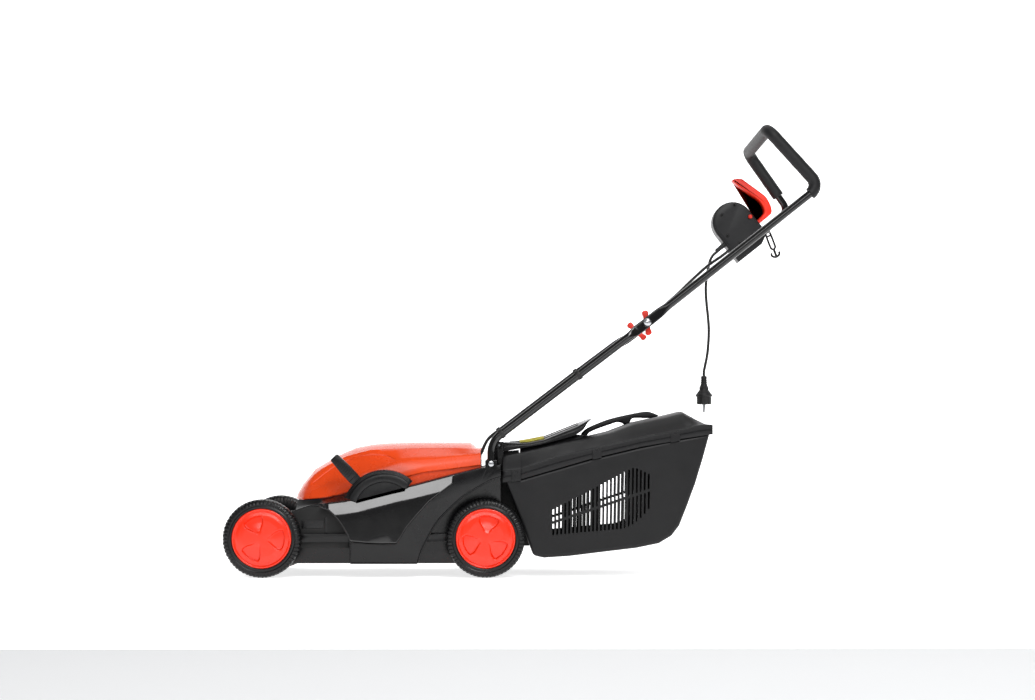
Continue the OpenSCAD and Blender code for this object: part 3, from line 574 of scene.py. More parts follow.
FOLD = Vector((267, 0, 549.7))
LOWER = Vector((math.cos(math.radians(37.3)), 0, math.sin(math.radians(37.3))))
UPPER = Vector((math.cos(math.radians(38.3)), 0, math.sin(math.radians(38.3))))
NORMAL = Vector((-UPPER.z, 0, UPPER.x))
HANDLE_Y = 176
TUBE_R = 8.5


def bent(points, radius, steps=10):
    """A polyline in space whose corners are turned into arcs."""
    pts = [Vector(p) for p in points]
    out = [pts[0]]
    for a, p, b in zip(pts, pts[1:], pts[2:]):
        u, w = (a - p).normalized(), (b - p).normalized()
        angle = u.angle(w)
        reach = radius / math.tan(angle / 2)
        start, end = p + u * reach, p + w * reach
        middle = p + (u + w).normalized() * (radius / math.sin(angle / 2))
        for k in range(steps + 1):
            turn = (math.pi - angle) * k / steps
            axis = (start - middle).cross(end - middle).normalized()
            out.append(middle + Matrix.Rotation(turn, 3, axis) @ (start - middle))
    return out + [pts[-1]]


def make_lower_tube(side, node):
    """Powder-coated tube from the socket in the deck up to its flattened end at the fold bolt."""
    y = side * HANDLE_Y
    corner = 549.7 + (-71 - 267) * math.tan(math.radians(37.3))
    low = [Vector((-71, y, 222)), Vector((-71, y, corner))]
    path = bent(low + [FOLD + LOWER * -74 + Vector((0, y, 0))], 50, 12)
    path += [FOLD + LOWER * s + Vector((0, y, 0)) for s in (-68, -62, -56, -50)]
    rings = []
    across = Vector((0, 1, 0))
    up = across.cross(LOWER)
    for p, _, _, t in path_frames(path):
        rise = t.cross(across)
        rings.append([tuple(p + across * (TUBE_R * math.cos(2 * math.pi * k / 24))
                            + rise * (TUBE_R * math.sin(2 * math.pi * k / 24))) for k in range(24)])
    # The last stretch flattens towards the middle plane and widens
    for s, flat in ((-43, 0.25), (-37, 0.6), (-31, 0.9), (-24, 1.0), (0, 1.0), (5.5, 1.0), (9.5, 1.0),
                    (11, 1.0)):
        half_y = TUBE_R * (1 - flat) + 3.7 * flat
        half_z = TUBE_R * (1 - flat) + 11 * flat
        if s > 0:
            half_z = math.sqrt(max(1.0, 11.05 ** 2 - s * s))
        centre = FOLD + LOWER * s + Vector((0, y - side * flat * 4.0, 0))
        power = 2 / (2 + 5 * flat)
        ring = []
        for k in range(24):
            c, n = math.cos(2 * math.pi * k / 24), math.sin(2 * math.pi * k / 24)
            ring.append(tuple(centre + across * math.copysign(abs(c) ** power, c) * half_y
                              - up * math.copysign(abs(n) ** power, n) * half_z))
        rings.append(ring)
    bm = loft(rings)
    finish_piece(node + "_bar", bm, "tube_black", "chassis", (node,), sharp=40)


def grip_points(first):
    """Centreline corners of the upper handle, from near its left end round to its right end."""
    return [FOLD + UPPER * first + Vector((0, -HANDLE_Y, 0)), FOLD + UPPER * 479 + Vector((0, -HANDLE_Y, 0)),
            Vector((531, -HANDLE_Y, 971)), Vector((531, HANDLE_Y, 971)),
            FOLD + UPPER * 458 + Vector((0, HANDLE_Y, 0)), FOLD + UPPER * first + Vector((0, HANDLE_Y, 0))]


def make_upper_handle():
    """One bent tube with both ends flattened for the fold bolts."""
    path = bent(grip_points(60), 24, 12)
    bm = tube(path, TUBE_R, 24)
    for side in (-1, 1):
        across = Vector((0, 1, 0))
        up = across.cross(UPPER)
        rings = []
        for s, flat in ((60.5, 0.0), (54, 0.1), (46, 0.45), (38, 0.8), (30, 1.0), (0, 1.0), (-5.5, 1.0),
                        (-9.5, 1.0), (-11, 1.0)):
            half_y = TUBE_R * (1 - flat) + 3.7 * flat
            half_z = TUBE_R * (1 - flat) + 11 * flat
            if s < 0:
                half_z = math.sqrt(max(1.0, 11.05 ** 2 - s * s))
            centre = FOLD + UPPER * s + Vector((0, side * (HANDLE_Y + flat * 4.0), 0))
            power = 2 / (2 + 5 * flat)
            rings.append([tuple(centre
                                + across * math.copysign(abs(math.cos(a)) ** power, math.cos(a)) * half_y
                                + up * math.copysign(abs(math.sin(a)) ** power, math.sin(a)) * half_z)
                          for a in [2 * math.pi * k / 24 for k in range(24)]])
        join(bm, loft(rings))
    finish_piece("upper_handle_bar", bm, "tube_black", "handle", ("upper_handle",), sharp=40)


def make_foam():
    """Foam sleeve over the grip, cut square, with its bore showing at both ends."""
    g = grip_points(45)
    leg = (g[3] - g[4]).normalized()
    path = bent([FOLD + UPPER * 453 + Vector((0, -HANDLE_Y, 0)), g[1], g[2], g[3], g[4] + leg * 42], 24, 12)
    fine = []
    for a, b in zip(path, path[1:]):
        steps = max(1, int((b - a).length / 8))
        fine += [a + (b - a) * k / steps for k in range(steps)]
    fine.append(path[-1])
    frames = path_frames(fine)
    rings = []
    ends = [(0, 8.6), (0, 12.3), (1.2, 13.5)]
    for shift, r in ends:
        p, u, v, t = frames[0]
        rings.append([tuple(p + t * shift + (u * math.cos(a) + v * math.sin(a)) * r)
                      for a in [2 * math.pi * k / 28 for k in range(28)]])
    for i, (p, u, v, t) in enumerate(frames[1:-1]):
        r = 13.5 + 0.22 * math.sin(i * 1.7) * math.sin(i * 0.31)
        rings.append([tuple(p + (u * math.cos(a) + v * math.sin(a)) * r)
                      for a in [2 * math.pi * k / 28 for k in range(28)]])
    for shift, r in ends[::-1]:
        p, u, v, t = frames[-1]
        rings.append([tuple(p - t * shift + (u * math.cos(a) + v * math.sin(a)) * r)
                      for a in [2 * math.pi * k / 28 for k in range(28)]])
    foam = finish_piece("grip_foam_sleeve", loft(rings, caps=(False, False)), "foam_grey", "handle",
                        ("grip_foam",), sharp=50)


def make_fold_fixings():
    """Domed bolt heads outside the tubes and winged nuts inside them."""
    bm = bmesh.new()
    for side in (-1, 1):
        dome = [(0, 4.2), (3, 4.0), (5.8, 3.2), (7.6, 2.0), (8.5, 0.4), (8.5, 0), (0, 0)]
        join(bm, lathe(dome, (267, side * 184.2, 549.7), (0, side, 0), 32))
        join(bm, lathe([(0, 0), (4, 0), (4, 31), (3.2, 32), (0, 32)], (267, side * 184, 549.7), (0, -side, 0),
                       20))
    finish_piece("fold_bolt_set", bm, "zinc", "chassis", ("fold_bolts",), sharp=40)
    for side, node, turn in ((-1, "wing_knob_left", 100), (1, "wing_knob_right", 138)):
        bm = lathe([(4.1, 0), (10, 0), (11, 1), (11, 15), (9.6, 18), (7, 19.4), (4.1, 19.4)],
                   (267, side * 167.8, 549.7), (0, -side, 0), 32)
        for flip in (0, 180):
            a = math.radians(turn + flip)
            d = Vector((math.cos(a), 0, math.sin(a)))
            n = Vector((-d.z, 0, d.x))
            outline = [(8, 6), (14, 5.2), (18, 6.4), (22, 7), (25.4, 5.6), (27, 2.4), (27, -2.4),
                       (25.4, -5.6), (22, -7), (18, -6.4), (14, -5.2), (8, -6)]
            pts = [(267 + (d * r + n * w).x, 549.7 + (d * r + n * w).z) for r, w in outline]
            join(bm, along_y(pts, side * 167.0, side * 152.0, 2.2))
        finish_piece(node + "_nut", bm, "knob_red", BODY_OF[node], (node,), sharp=45)


# ---------------------------------------------------------------- hood

HOOD_TOP = [(-504, 168), (-500.5, 180), (-489, 199), (-476, 215), (-462, 232.5), (-441, 244.5), (-421, 257),
            (-396, 269), (-372, 279), (-337, 286), (-303, 289), (-233, 291), (-140, 291), (-117, 290),
            (-105, 280), (-94, 278.5)]
HOOD_CREST = [(-504, 167.2), (-500, 177), (-489, 191), (-476, 206), (-462, 219), (-441, 233), (-421, 244),
              (-389, 259), (-372, 264.5), (-334, 274), (-233, 277), (-139, 278), (-94, 275)]
HOOD_CREASE = [(-504, 166.6), (-496, 171.5), (-481, 180), (-469, 185), (-433.5, 192), (-386, 213),
               (-352, 225), (-270, 250), (-196, 256), (-94, 266.5)]
HOOD_EDGE = [(-504, 165.6), (-493, 167), (-480, 167), (-432, 171), (-398, 178), (-378, 184), (-249, 218),
             (-216, 226), (-156, 233), (-94, 241)]
HOOD_BASE = [(-504, 152), (-473, 152.5), (-452, 156.5), (-406, 163), (-359, 168.5), (-264, 193), (-234, 200),
             (-151, 222), (-94, 236)]
HOOD_HALF = [(-506, 98), (-500, 108), (-490, 121), (-470, 131), (-430, 146), (-350, 158), (-250, 162.5),
             (-90, 162.5)]
LEAF_TOP = [(-481, 194), (-454, 210.4), (-421, 234.3), (-404, 245.2), (-373.5, 260.4), (-325.6, 265.6),
            (-297.4, 263.7), (-269, 250.5)]


def hood_section(x):
    """Half of the hood's cross-section at x, from the middle plane down to its foot, as (y, z)."""
    top, crest, crease = on_curve(HOOD_TOP, x), on_curve(HOOD_CREST, x), on_curve(HOOD_CREASE, x)
    edge, base, half = on_curve(HOOD_EDGE, x), on_curve(HOOD_BASE, x), on_curve(HOOD_HALF, x)
    crest = min(crest, top - 0.3)
    drop = top - crest
    rows = [(0, top), (0.22, top - 0.03 * drop), (0.42, top - 0.12 * drop), (0.58, top - 0.34 * drop),
            (0.69, top - 0.66 * drop), (0.755, crest + 0.09 * drop), (0.785, crest),
            (0.8, crest - 0.1 * (crest - crease))]
    window = smooth((x + 483) / 22) * smooth((-268 - x) / 24)
    leaf = min(crest - 0.16 * (crest - crease), max(crease + 0.2 * (crest - crease), on_curve(LEAF_TOP, x)))
    dent = 3.2 * window

    def face(z, sink=0.0):
        t = (crest - z) / max(0.5, crest - crease)
        y = 0.785 + 0.17 * t + 0.012 * math.sin(math.pi * t)
        return y - 0.8 * sink / half, z - 0.45 * sink

    rows += [face(leaf + 1.2), face(leaf, 0.25 * dent), face(leaf - 1.6, dent)]
    for share in (0.3, 0.55, 0.78):
        rows.append(face(leaf - 1.6 + (crease + 3 - leaf + 1.6) * share, dent * (1 - 0.55 * share)))
    rows += [face(crease + 3, dent * 0.3), face(crease + 0.9), (0.957, crease - 0.6)]
    rows += [(0.967, crease - 0.16 * (crease - edge)), (0.98, crease - 0.5 * (crease - edge)),
             (0.995, edge + 2.2), (1.0, edge + 1.0), (0.998, edge + 0.2)]
    out = [(y * half, z) for y, z in rows]
    return out + [(half - 1.2, edge - 0.3), (half - 5, edge - 0.3), (half - 5, min(base, edge - 1))]


def make_hood():
    """Moulded cover over the motor: domed top, crest, leaf-shaped recess and a crease above its side."""
    even = [-504 + 410 * i / 82 for i in range(83)]
    stations = sorted(even + [p[0] for p in HOOD_TOP if min(abs(p[0] - x) for x in even) > 1.4])
    bm = bmesh.new()
    rings = []
    for x in stations:
        half = on_curve(HOOD_HALF, x)
        fade = smooth((-430 - x) / 70)
        section = [(x + 12 * fade * (y / half) ** 3, y, z) for y, z in hood_section(x)]
        ring = [bm.verts.new((px, -y, z)) for px, y, z in reversed(section[1:])]
        ring += [bm.verts.new(p) for p in section]
        rings.append(ring)
    bridge(bm, rings, closed=False)
    for ring in (rings[0], rings[-1]):
        count = len(ring)
        for i in range(count // 2 - 1):
            bm.faces.new((ring[i], ring[i + 1], ring[count - 2 - i], ring[count - 1 - i]))
        bm.faces.new((ring[count // 2 - 1], ring[count // 2], ring[count // 2 + 1]))
    edges = [e for e in bm.edges if len(e.link_faces) == 2 and e.calc_face_angle(0) > math.radians(50)
             and abs(e.verts[0].co.x - e.verts[1].co.x) < 3 and e.verts[0].co.x > -100]
    bmesh.ops.bevel(bm, geom=edges, offset=1.2, segments=2, profile=0.5, affect="EDGES", clamp_overlap=True,
                    material=-1)
    finish_piece("hood_shell", bm, "hood_red", "chassis", ("hood",), sharp=42)
    ring = lathe([(4.4, -3), (7.5, -3), (8, -1), (7.5, 1), (4.4, 1)], (-94, -139.5, 263.5), (1, 0, 0), 28)
    finish_piece("cable_grommet", ring, "cord_black", "chassis", sharp=40)


# ---------------------------------------------------------------- deck and its trim

DECK_TOP = [(-498, 142), (-473, 151), (-452, 155.5), (-406, 162), (-359, 167.5), (-264, 192), (-234, 199),
            (-151, 221), (-96, 234), (-50, 241)]
PANEL_TOP = [(-425, 158), (-359, 166.5), (-264, 191), (-234, 198), (-151, 220)]
PANEL_REAR = [(-152, 202), (-178, 182.5), (-205, 161), (-231, 132), (-253, 105.5), (-267, 82), (-274, 73)]
PANEL_FRONT = [(-373, 77), (-377, 89), (-386, 104), (-396, 119), (-408, 133), (-422, 145.5)]
REAR_ARCH = [(-229, 31), (-221, 57), (-206, 88), (-187, 120), (-160, 148.5), (-130, 175), (-97, 195),
             (-71, 209), (-50, 216)]
FRONT_ARCH = [(-373.5, 31), (-373.5, 77), (-377.5, 89), (-386.5, 104), (-396.5, 119), (-408.5, 133),
              (-422, 145), (-440, 151.5)]
PIVOT = (-300, 142)


def bead(points, y, radius, name, slot="deck_black"):
    """A small half-round bead along an XZ line on the deck's side."""
    path = [(p[0], y, p[1]) for p in eased(points, 5)]
    finish_piece(name, tube(path, radius, 10), slot, "chassis", sharp=60)


def make_deck():
    """The deck's own mesh with softened edges, the sloping ledge below the hood, beads and slots; the slotted
    arch liner's near-black is partly painted shade in the wheel well.
    """
    rounded_copy("deck", 1.3, 3)
    for side, word in ((-1, "left"), (1, "right")):
        rings = []
        for i in range(57):
            x = -494 + 440 * i / 56
            outer = 156 + 29.6 * smooth((x + 441) / 14)
            top = on_curve(DECK_TOP, x)
            half = on_curve(HOOD_HALF, x) + 0.8
            front = smooth((-250 - x) / 60)
            inner = top + 3.0 + front * (on_curve(HOOD_EDGE, x) - 1.2 - top - 3.0)
            rings.append([(x, side * y, z) for y, z in (
                (outer - 0.6, top - 4), (outer, top - 1.2), (outer - 0.5, top + 0.1),
                (outer - 1.8, top + 0.6), (outer * 0.55 + half * 0.45, top + 0.35 * (inner - top)),
                (half + 1.5, inner - 0.6), (half, inner - 1.4), (half, top - 4))])
        finish_piece("deck_ledge_" + word, loft(rings), "deck_black", "chassis", sharp=50)
        seal = [(-52, 64), (-52, 270), (-10, 273.5), (-10, 150), (12, 84), (12, 64)]
        finish_piece("chute_seal_" + word, along_y(seal, side * 101.0, side * 98.0, 0.6), "inner_black",
                     "chassis", sharp=40)
        bead(REAR_ARCH, side * 185.6, 2.0, "arch_bead_rear_" + word)
        bead(FRONT_ARCH, side * 185.6, 1.8, "arch_bead_front_" + word)
        bead([(-373, 76), (-340, 72.5), (-305, 71), (-274, 72)], side * 186.2, 1.6, "panel_bead_" + word)
        bead([(-372, 31.5), (-300, 31), (-231, 31.5)], side * 185.4, 2.0, "skirt_bead_" + word)
        # Liner inside the front wheel arch: real slotted brackets, and its near-black finish is painted shade
        # that darkens the wheel well
        liner = [(-540, 62), (-540, 118), (-500, 141), (-470, 150), (-412, 152), (-384, 130), (-378, 62)]
        slots = [[(-481, 104), (-481, 121), (-433, 121), (-433, 104)],
                 [(-431, 78), (-431, 127), (-425, 127), (-425, 78)]]
        plate = plate_with_holes(liner, slots, side * 159.4, side * 157.4, 0.4)
        finish_piece("shaded_arch_liner_" + word, plate, "inner_black", "chassis", sharp=40)


def plate_with_holes(outline, holes, face_y, back_y, round_mm, steps=3):
    """A flat plate in XZ whose outer edge is rounded on its face and whose holes go right through."""
    inward = 1 if back_y > face_y else -1
    bm = bmesh.new()
    inner = offset_outline(outline, round_mm)
    edges = []
    loops = []
    for loop in [inner] + holes:
        verts = [bm.verts.new((x, face_y, z)) for x, z in loop]
        loops.append(verts)
        edges += [bm.edges.new((verts[i], verts[(i + 1) % len(verts)])) for i in range(len(verts))]
    bmesh.ops.triangle_fill(bm, use_beauty=True, use_dissolve=True, edges=edges, normal=(0, -inward, 0))
    previous = loops[0]
    rings = [previous]
    for k in range(1, steps + 1):
        angle = math.radians(90) * k / steps
        ring = offset_outline(outline, round_mm * (1 - math.sin(angle)))
        rings.append([bm.verts.new((x, face_y + inward * round_mm * (1 - math.cos(angle)), z))
                      for x, z in ring])
    rings.append([bm.verts.new((x, back_y, z)) for x, z in outline])
    bridge(bm, rings)
    for verts in loops[1:]:
        back = [bm.verts.new((v.co.x, back_y, v.co.z)) for v in verts]
        bridge(bm, [verts, back])
    return bm


def make_panels():
    """Gloss side panels, bulged over the height lever's pivot, under the matt shield of the lever guard."""
    for side, word in ((-1, "left"), (1, "right")):
        bm = bmesh.new()
        left, right = -425, -151
        rings = []
        columns = 96
        margin = [0, 0.3, 0.8, 1.6, 2.6, 3.6]
        for i in range(columns + 1):
            x = left + (right - left) * i / columns
            high = on_curve(PANEL_TOP, x)
            low = (on_curve(sorted(PANEL_FRONT), x) if x < -373
                   else on_curve([(-373, 77), (-340, 74), (-305, 72.6), (-274, 73)], x) if x < -274
                   else on_curve(sorted(PANEL_REAR), x))
            low = min(low, high - 1.0)
            ring = []
            heights = [low + d for d in margin] + [low + 4 + (high - low - 8) * k / 24 for k in range(25)]
            heights += [high - d for d in margin[::-1]]
            if high - low < 10:
                heights = [low + (high - low) * k / 36 for k in range(37)]
            for z in heights:
                # The upper band leans in to the hood; below it the face is nearly upright
                down = high - z
                under_arch = smooth((x + 422) / 84) * smooth((-225 - x) / 70)
                band = min(down, 27) + 4 * (1 - math.exp(-max(0.0, down - 27) / 4))
                y = 187.6 + 4.8 * under_arch + 0.2 * band + 0.02 * max(0.0, down - 31)
                rim = min(1.0, max(0.0, z - low) / 3.2, (x - left) / 6 + 0.05, (right - x) / 6 + 0.05)
                rim = math.sqrt(max(0.0, 1 - (1 - rim) ** 2)) * min(1.0, (high - z) / 1.0 + 0.3)
                ring.append(bm.verts.new((x, side * min(186.2 + (y - 186.2) * rim, 199.9), z)))
            ring += [bm.verts.new((x, side * 186.0, z)) for z in heights[::-1]]
            rings.append(ring)
        bridge(bm, rings)
        bm.faces.new(rings[0])
        bm.faces.new(rings[-1][::-1])
        finish_piece("side_panel_%s_skin" % word, bm, "panel_black", "chassis", ("side_panel_" + word,),
                     sharp=60)


def polar(angle, r):
    return (PIVOT[0] + r * math.cos(math.radians(angle)), PIVOT[1] + r * math.sin(math.radians(angle)))


def make_guard():
    """The arch over the height lever: a smooth face, a ribbed outer band and a flat shield inside it."""
    profile = [(63.2, -194.3), (63.2, -198.2), (64.2, -199.5), (66, -200), (78.4, -200), (79.6, -199.5),
               (80.6, -198.2), (82.4, -197.5), (86.5, -196.9), (89, -196), (90, -194.6), (89.6, -194.3)]
    bm = bmesh.new()
    rings = []
    steps = 330
    for i in range(steps + 1):
        angle = 46.5 + (161 - 46.5) * i / steps
        into = (angle - 46.5) / 6.5
        shrink = math.sqrt(max(0.02, 1 - (1 - min(1, into)) ** 2))
        rib = 1.3 if (i % 6) in (0, 1, 2) and into > 1 and angle < 158 else 0.0
        ring = []
        for r, y in profile:
            if r > 81.5:
                r, y = r - rib, y + rib * 1.2
            r = 76.6 + (r - 76.6) * shrink
            x, z = polar(angle, r)
            ring.append(bm.verts.new((x, min(y, -194.3), z)))
        rings.append(ring)
    bridge(bm, rings)
    bm.faces.new(rings[0])
    bm.faces.new(rings[-1][::-1])
    shield = [polar(a, 63.4) for a in range(46, 164, 3)]
    shield += [(-360.5, 166.0), (-330, 174.0), (-290, 184.4), (-262, 191.6), (-256, 193)]
    join(bm, along_y(shield, -195.6, -194.4, 0.3))
    # Two feet carry the arch off the fender
    for a0, a1 in ((47, 49.5), (152, 160.5)):
        foot = [polar(a0 + (a1 - a0) * k / 4, 88.6) for k in range(5)] + [polar(a1 - (a1 - a0) * k / 4, 64.5)
                                                                      for k in range(5)]
        join(bm, along_y(foot, -195.0, -184.0, 0.5))
    finish_piece("lever_guard_arch", bm, "lever_black", "chassis", ("lever_guard",), sharp=36)


def make_lever():
    """Height lever with a ribbed thumb grip; its root lies flat behind the gloss panel."""
    blade = rounded_copy("height_lever", 1.4, 3)
    a = math.radians(133)
    d, n = Vector((math.cos(a), 0, math.sin(a))), Vector((-math.sin(a), 0, math.cos(a)))
    hub = Vector((PIVOT[0], 0, PIVOT[1])) * MM
    cut = bmesh.new()
    cut.from_mesh(blade.data)
    for reach in (56, 62):
        bmesh.ops.bisect_plane(cut, geom=cut.verts[:] + cut.edges[:] + cut.faces[:],
                               plane_co=hub + d * reach * MM, plane_no=d)
    for vert in cut.verts:
        if (vert.co - hub).dot(d) < 56.5 * MM and vert.co.y < -0.1875:
            vert.co.y = -0.1875 + (vert.co.y + 0.1875) * 0.12
    cut.to_mesh(blade.data)
    cut.free()
    bm = bmesh.new()
    for k in range(8):
        r = 106 + k * 5.2
        corner = [(r, -9), (r + 2.2, -9), (r + 2.2, 9), (r, 9)]
        pts = [(PIVOT[0] + (d * u + n * w).x, PIVOT[1] + (d * u + n * w).z) for u, w in corner]
        join(bm, along_y(pts, -200, -197.6, 0.8, 3))
    finish_piece("lever_grip_ribs", bm, "lever_black", "lever", sharp=40)


# ---------------------------------------------------------------- grass box, lid, flap

BOX_SIDE = [(-44, 216), (20, 46), (43, 41), (98, 44.5), (167, 53), (243, 62), (292, 72), (319, 88),
            (336, 110), (354, 155), (371, 200), (388, 255), (403, 309), (336, 297), (255, 281), (171, 261),
            (146, 255), (-5, 211), (-20, 213)]
BOX_FLOOR = [(20, 46), (43, 41), (98, 44.5), (167, 53), (243, 62), (292, 72), (319, 88)]
LIP_LOW = [(-46, 203), (-5, 211), (146, 255), (171, 261), (255, 281), (320, 292), (336, 297), (403, 307)]
LIP_HIGH = [(-46, 228), (-7.5, 233), (70, 259), (100, 266), (152, 277), (171, 281), (255, 300), (322, 313),
            (376, 327), (394, 329), (409, 328)]
CROWN = [(-46, 266), (-6, 274.5), (40, 283.5), (86, 295), (110, 300), (138, 304), (188, 316), (238, 335),
         (298, 348), (346, 359.5), (350, 358.5), (397, 330), (409, 327.5)]


def vent_low(x):
    return 90 + (x - 60) * 0.09 if x < 200 else 102.6 + ((x - 200) / 66) ** 2 * 42


def vent_middle(x):
    return 117 + (x - 60) * 0.335


def vent_high(x):
    return 145 + (x - 60) * 0.52 if x < 236 else 236.5 - (x - 236) * 0.45


def vent_slots():
    """Outlines of the ventilation slots in one side of the box, leaning a little to the rear."""
    slots = []
    for i in range(25):
        x = 61 + i * 8.6
        for low, high in ((vent_low(x), vent_middle(x) - 3), (vent_middle(x) + 3, vent_high(x))):
            if high > low + 5:
                lean = 0.02
                slots.append([(x + 0.4, low), (x + 3.9, low), (x + 4.3, low + 0.6),
                              (x + 4.3 + lean * (high - low), high - 0.6),
                              (x + 3.9 + lean * (high - low), high), (x + 0.4 + lean * (high - low), high),
                              (x + lean * (high - low), high - 0.6), (x, low + 0.6)])
    return slots


def make_box():
    """Blow-moulded grass box: two slotted sides, a rounded wall round them and the mouth at the front."""
    outline = round_corners(BOX_SIDE[:13], 14, 4, closed=False) + BOX_SIDE[13:]
    bm = bmesh.new()
    radius = 7.0
    for side in (-1, 1):
        join(bm, plate_with_holes(offset_outline(outline, radius), vent_slots(), side * 163, side * 160.4,
                                  0.0, 1))
    count = len(outline)
    for side in (-1, 1):
        rings = []
        for k in range(7):
            angle = math.radians(90) * k / 6
            ring = offset_outline(outline, radius * (1 - math.sin(angle)))
            rings.append([(x, side * (163 - radius * (1 - math.cos(angle))), z) for x, z in ring])
        join(bm, loft(rings, caps=(False, False)))
    # The wall between the two rounded edges, left open at the mouth and under the lid
    lower = [i for i in range(count) if outline[i][1] < 209 or outline[i][0] > 360]
    ys = [-156, -104, 104, 156]
    for inset in (0.0, 2.5):
        ring = offset_outline(outline, inset)
        grid = [[bm.verts.new((ring[i][0], y, ring[i][1])) for y in ys] for i in lower]
        for a, b, i in zip(grid, grid[1:], lower):
            mouth = max(outline[i][0], outline[i + 1][0]) < 22
            for k in range(3):
                if not (mouth and k == 1):
                    bm.faces.new((a[k], a[k + 1], b[k + 1], b[k]))
    bmesh.ops.remove_doubles(bm, verts=bm.verts, dist=0.01)
    # Stiffening webs inside, seen dark through the slots
    for x0, x1 in ((88, 106), (152, 170), (229, 300)):
        web = [(x0, on_curve(BOX_FLOOR, x0) + 3), (x1, on_curve(BOX_FLOOR, x1) + 3), (x1, 250), (x0, 245)]
        join(bm, along_y(web, -6, 6, 0.5))
    finish_piece("grass_box_shell", bm, "box_black", "grass_box", ("box_body",), sharp=30)


def hump(x):
    """How far the lid's middle rises above its crown under the flap."""
    return 7.0 * smooth((x + 30) / 10) * smooth((150 - x) / 34)


def lid_half(x):
    """Half of the lid's cross-section at x, from the middle plane out to the underside of its lip."""
    crown, high, low = on_curve(CROWN, x), on_curve(LIP_HIGH, x), on_curve(LIP_LOW, x)
    crown = max(crown, high + 0.4)
    rise = crown - high
    middle = high - 0.52 * (high - low)
    up = hump(x)
    return [(0, crown + up), (60, crown - 0.02 * rise + up), (103, crown - 0.05 * rise + up),
            (108, crown - 0.09 * rise), (130, crown - 0.17 * rise), (136, crown - 0.28 * rise),
            (148, high + 0.36 * rise), (159, high + 0.1 * rise), (162, high + 0.6), (164.6, high),
            (165.8, high - 0.9), (166, high - 2), (166, middle + 1.2), (165, middle + 0.4),
            (165, middle - 0.4), (166, middle - 1.2), (166, low + 1), (165.4, low), (163.2, low)]


def make_lid():
    """Lid with a crowned top, a stepped lip and cheeks that reach forward beside the flap."""
    bm = bmesh.new()
    for side in (-1, 1):
        rings = []
        for x in [-46, -45, -38, -26, -14, -6.5]:
            ring = [(x, side * y, z) for y, z in lid_half(max(x, -45)) if y >= 130]
            shrink = 0.0 if x > -46 else 0.8
            ring = [(px, y - side * shrink, z) for px, y, z in ring]
            ring += [(x, side * 163, ring[-1][2] + 4), (x, side * 133, ring[0][2] - 4)]
            rings.append(ring)
        join(bm, loft(rings))
    stations = sorted(set([-6.6, -5.4] + [-4 + 413 * i / 96 for i in range(97)] + [346, 350, 396]))
    # Each half is a closed strip; the two strips meet on the middle plane
    for side in (-1, 1):
        half_rings = []
        for i, x in enumerate(stations):
            half = lid_half(x)
            shrink = 0.6 if i in (0, len(stations) - 1) else 0.0
            ring = [(x, side * (y - shrink if y else 0), z) for y, z in half]
            ring += [(x, side * 162.5, half[-1][1] + 3.5)]
            ring += [(x, side * (y - 3 if y else 0), z - 3) for y, z in half[:8]][::-1]
            half_rings.append(ring)
        join(bm, loft(half_rings))
    # Front and rear edges turn down
    for x0, x1, low in ((-6.5, -3.5, 205), (404.5, 408, 309)):
        half = [(y, z) for y, z in lid_half(-5 if x0 < 0 else 405)]
        ring0 = [(x0, -y, z - 0.5) for y, z in reversed(half[1:9])] + [(x0, y, z - 0.5) for y, z in half[:9]]
        ring0 += [(x0, 118, max(low, half[8][1] - 14)), (x0, -118, max(low, half[8][1] - 14))]
        ring1 = [(x1, y, z) for _, y, z in ring0]
        join(bm, loft([ring0, ring1]))
    bmesh.ops.remove_doubles(bm, verts=bm.verts, dist=0.02)
    finish_piece("grass_box_lid", bm, "box_black", "grass_box", ("box_lid",), sharp=40)
    clips = bmesh.new()
    for side in (-1, 1):
        for x in (-17, 158, 328):
            high, low = on_curve(LIP_HIGH, x), on_curve(LIP_LOW, x)
            slope = (on_curve(LIP_HIGH, x + 9) - on_curve(LIP_HIGH, x - 9)) / 18
            pts = [(x - 10, low - 3 - 10 * slope), (x + 10, low - 3 + 10 * slope),
                   (x + 10, high - 2 + 10 * slope), (x + 4, high - 2 + 4 * slope),
                   (x + 3, high - 7 + 3 * slope), (x - 4, high - 7 - 4 * slope),
                   (x - 5, high - 2 - 5 * slope), (x - 10, high - 2 - 10 * slope)]
            join(clips, along_y(pts, side * 168, side * 165, 0.7))
    finish_piece("lid_clips", clips, "box_black", "grass_box", sharp=40)


def make_carry_handle():
    """Bow handle on the lid, with a long finger gap and a short one behind it."""
    top = eased([(128.4, 296), (129, 305), (134, 314.5), (146, 323.5), (168, 333.5), (199, 344.5),
                 (248, 355.5), (275, 359.5), (287, 357.5), (303, 351.5)], 4)
    under = eased([(299, 346.5), (278, 345), (262, 345.6), (247, 345), (241.5, 341), (238, 334.5), (228, 331),
                   (223, 334.2), (215, 335.8), (206, 334.6), (191, 329.6), (167, 321.2), (150, 313.6),
                   (143.6, 307), (141.6, 297)], 4)
    outline = [tuple(p) for p in top] + [tuple(p) for p in under]
    bm = along_y(outline, -22, 22, 3.0, 4)
    finish_piece("carry_handle_bow", bm, "box_black", "grass_box", ("carry_handle",), sharp=45)


FLAP_TOP = [(-52, 289), (-40, 291), (-13, 293.5), (9, 296.8), (45, 304), (86, 320.5), (118, 333),
            (146, 344.5)]
FLAP_EDGE = [(-52, 272), (-40, 271), (-6, 277), (40, 286), (86, 298), (113, 306), (130, 317), (140, 333),
             (147.5, 342)]


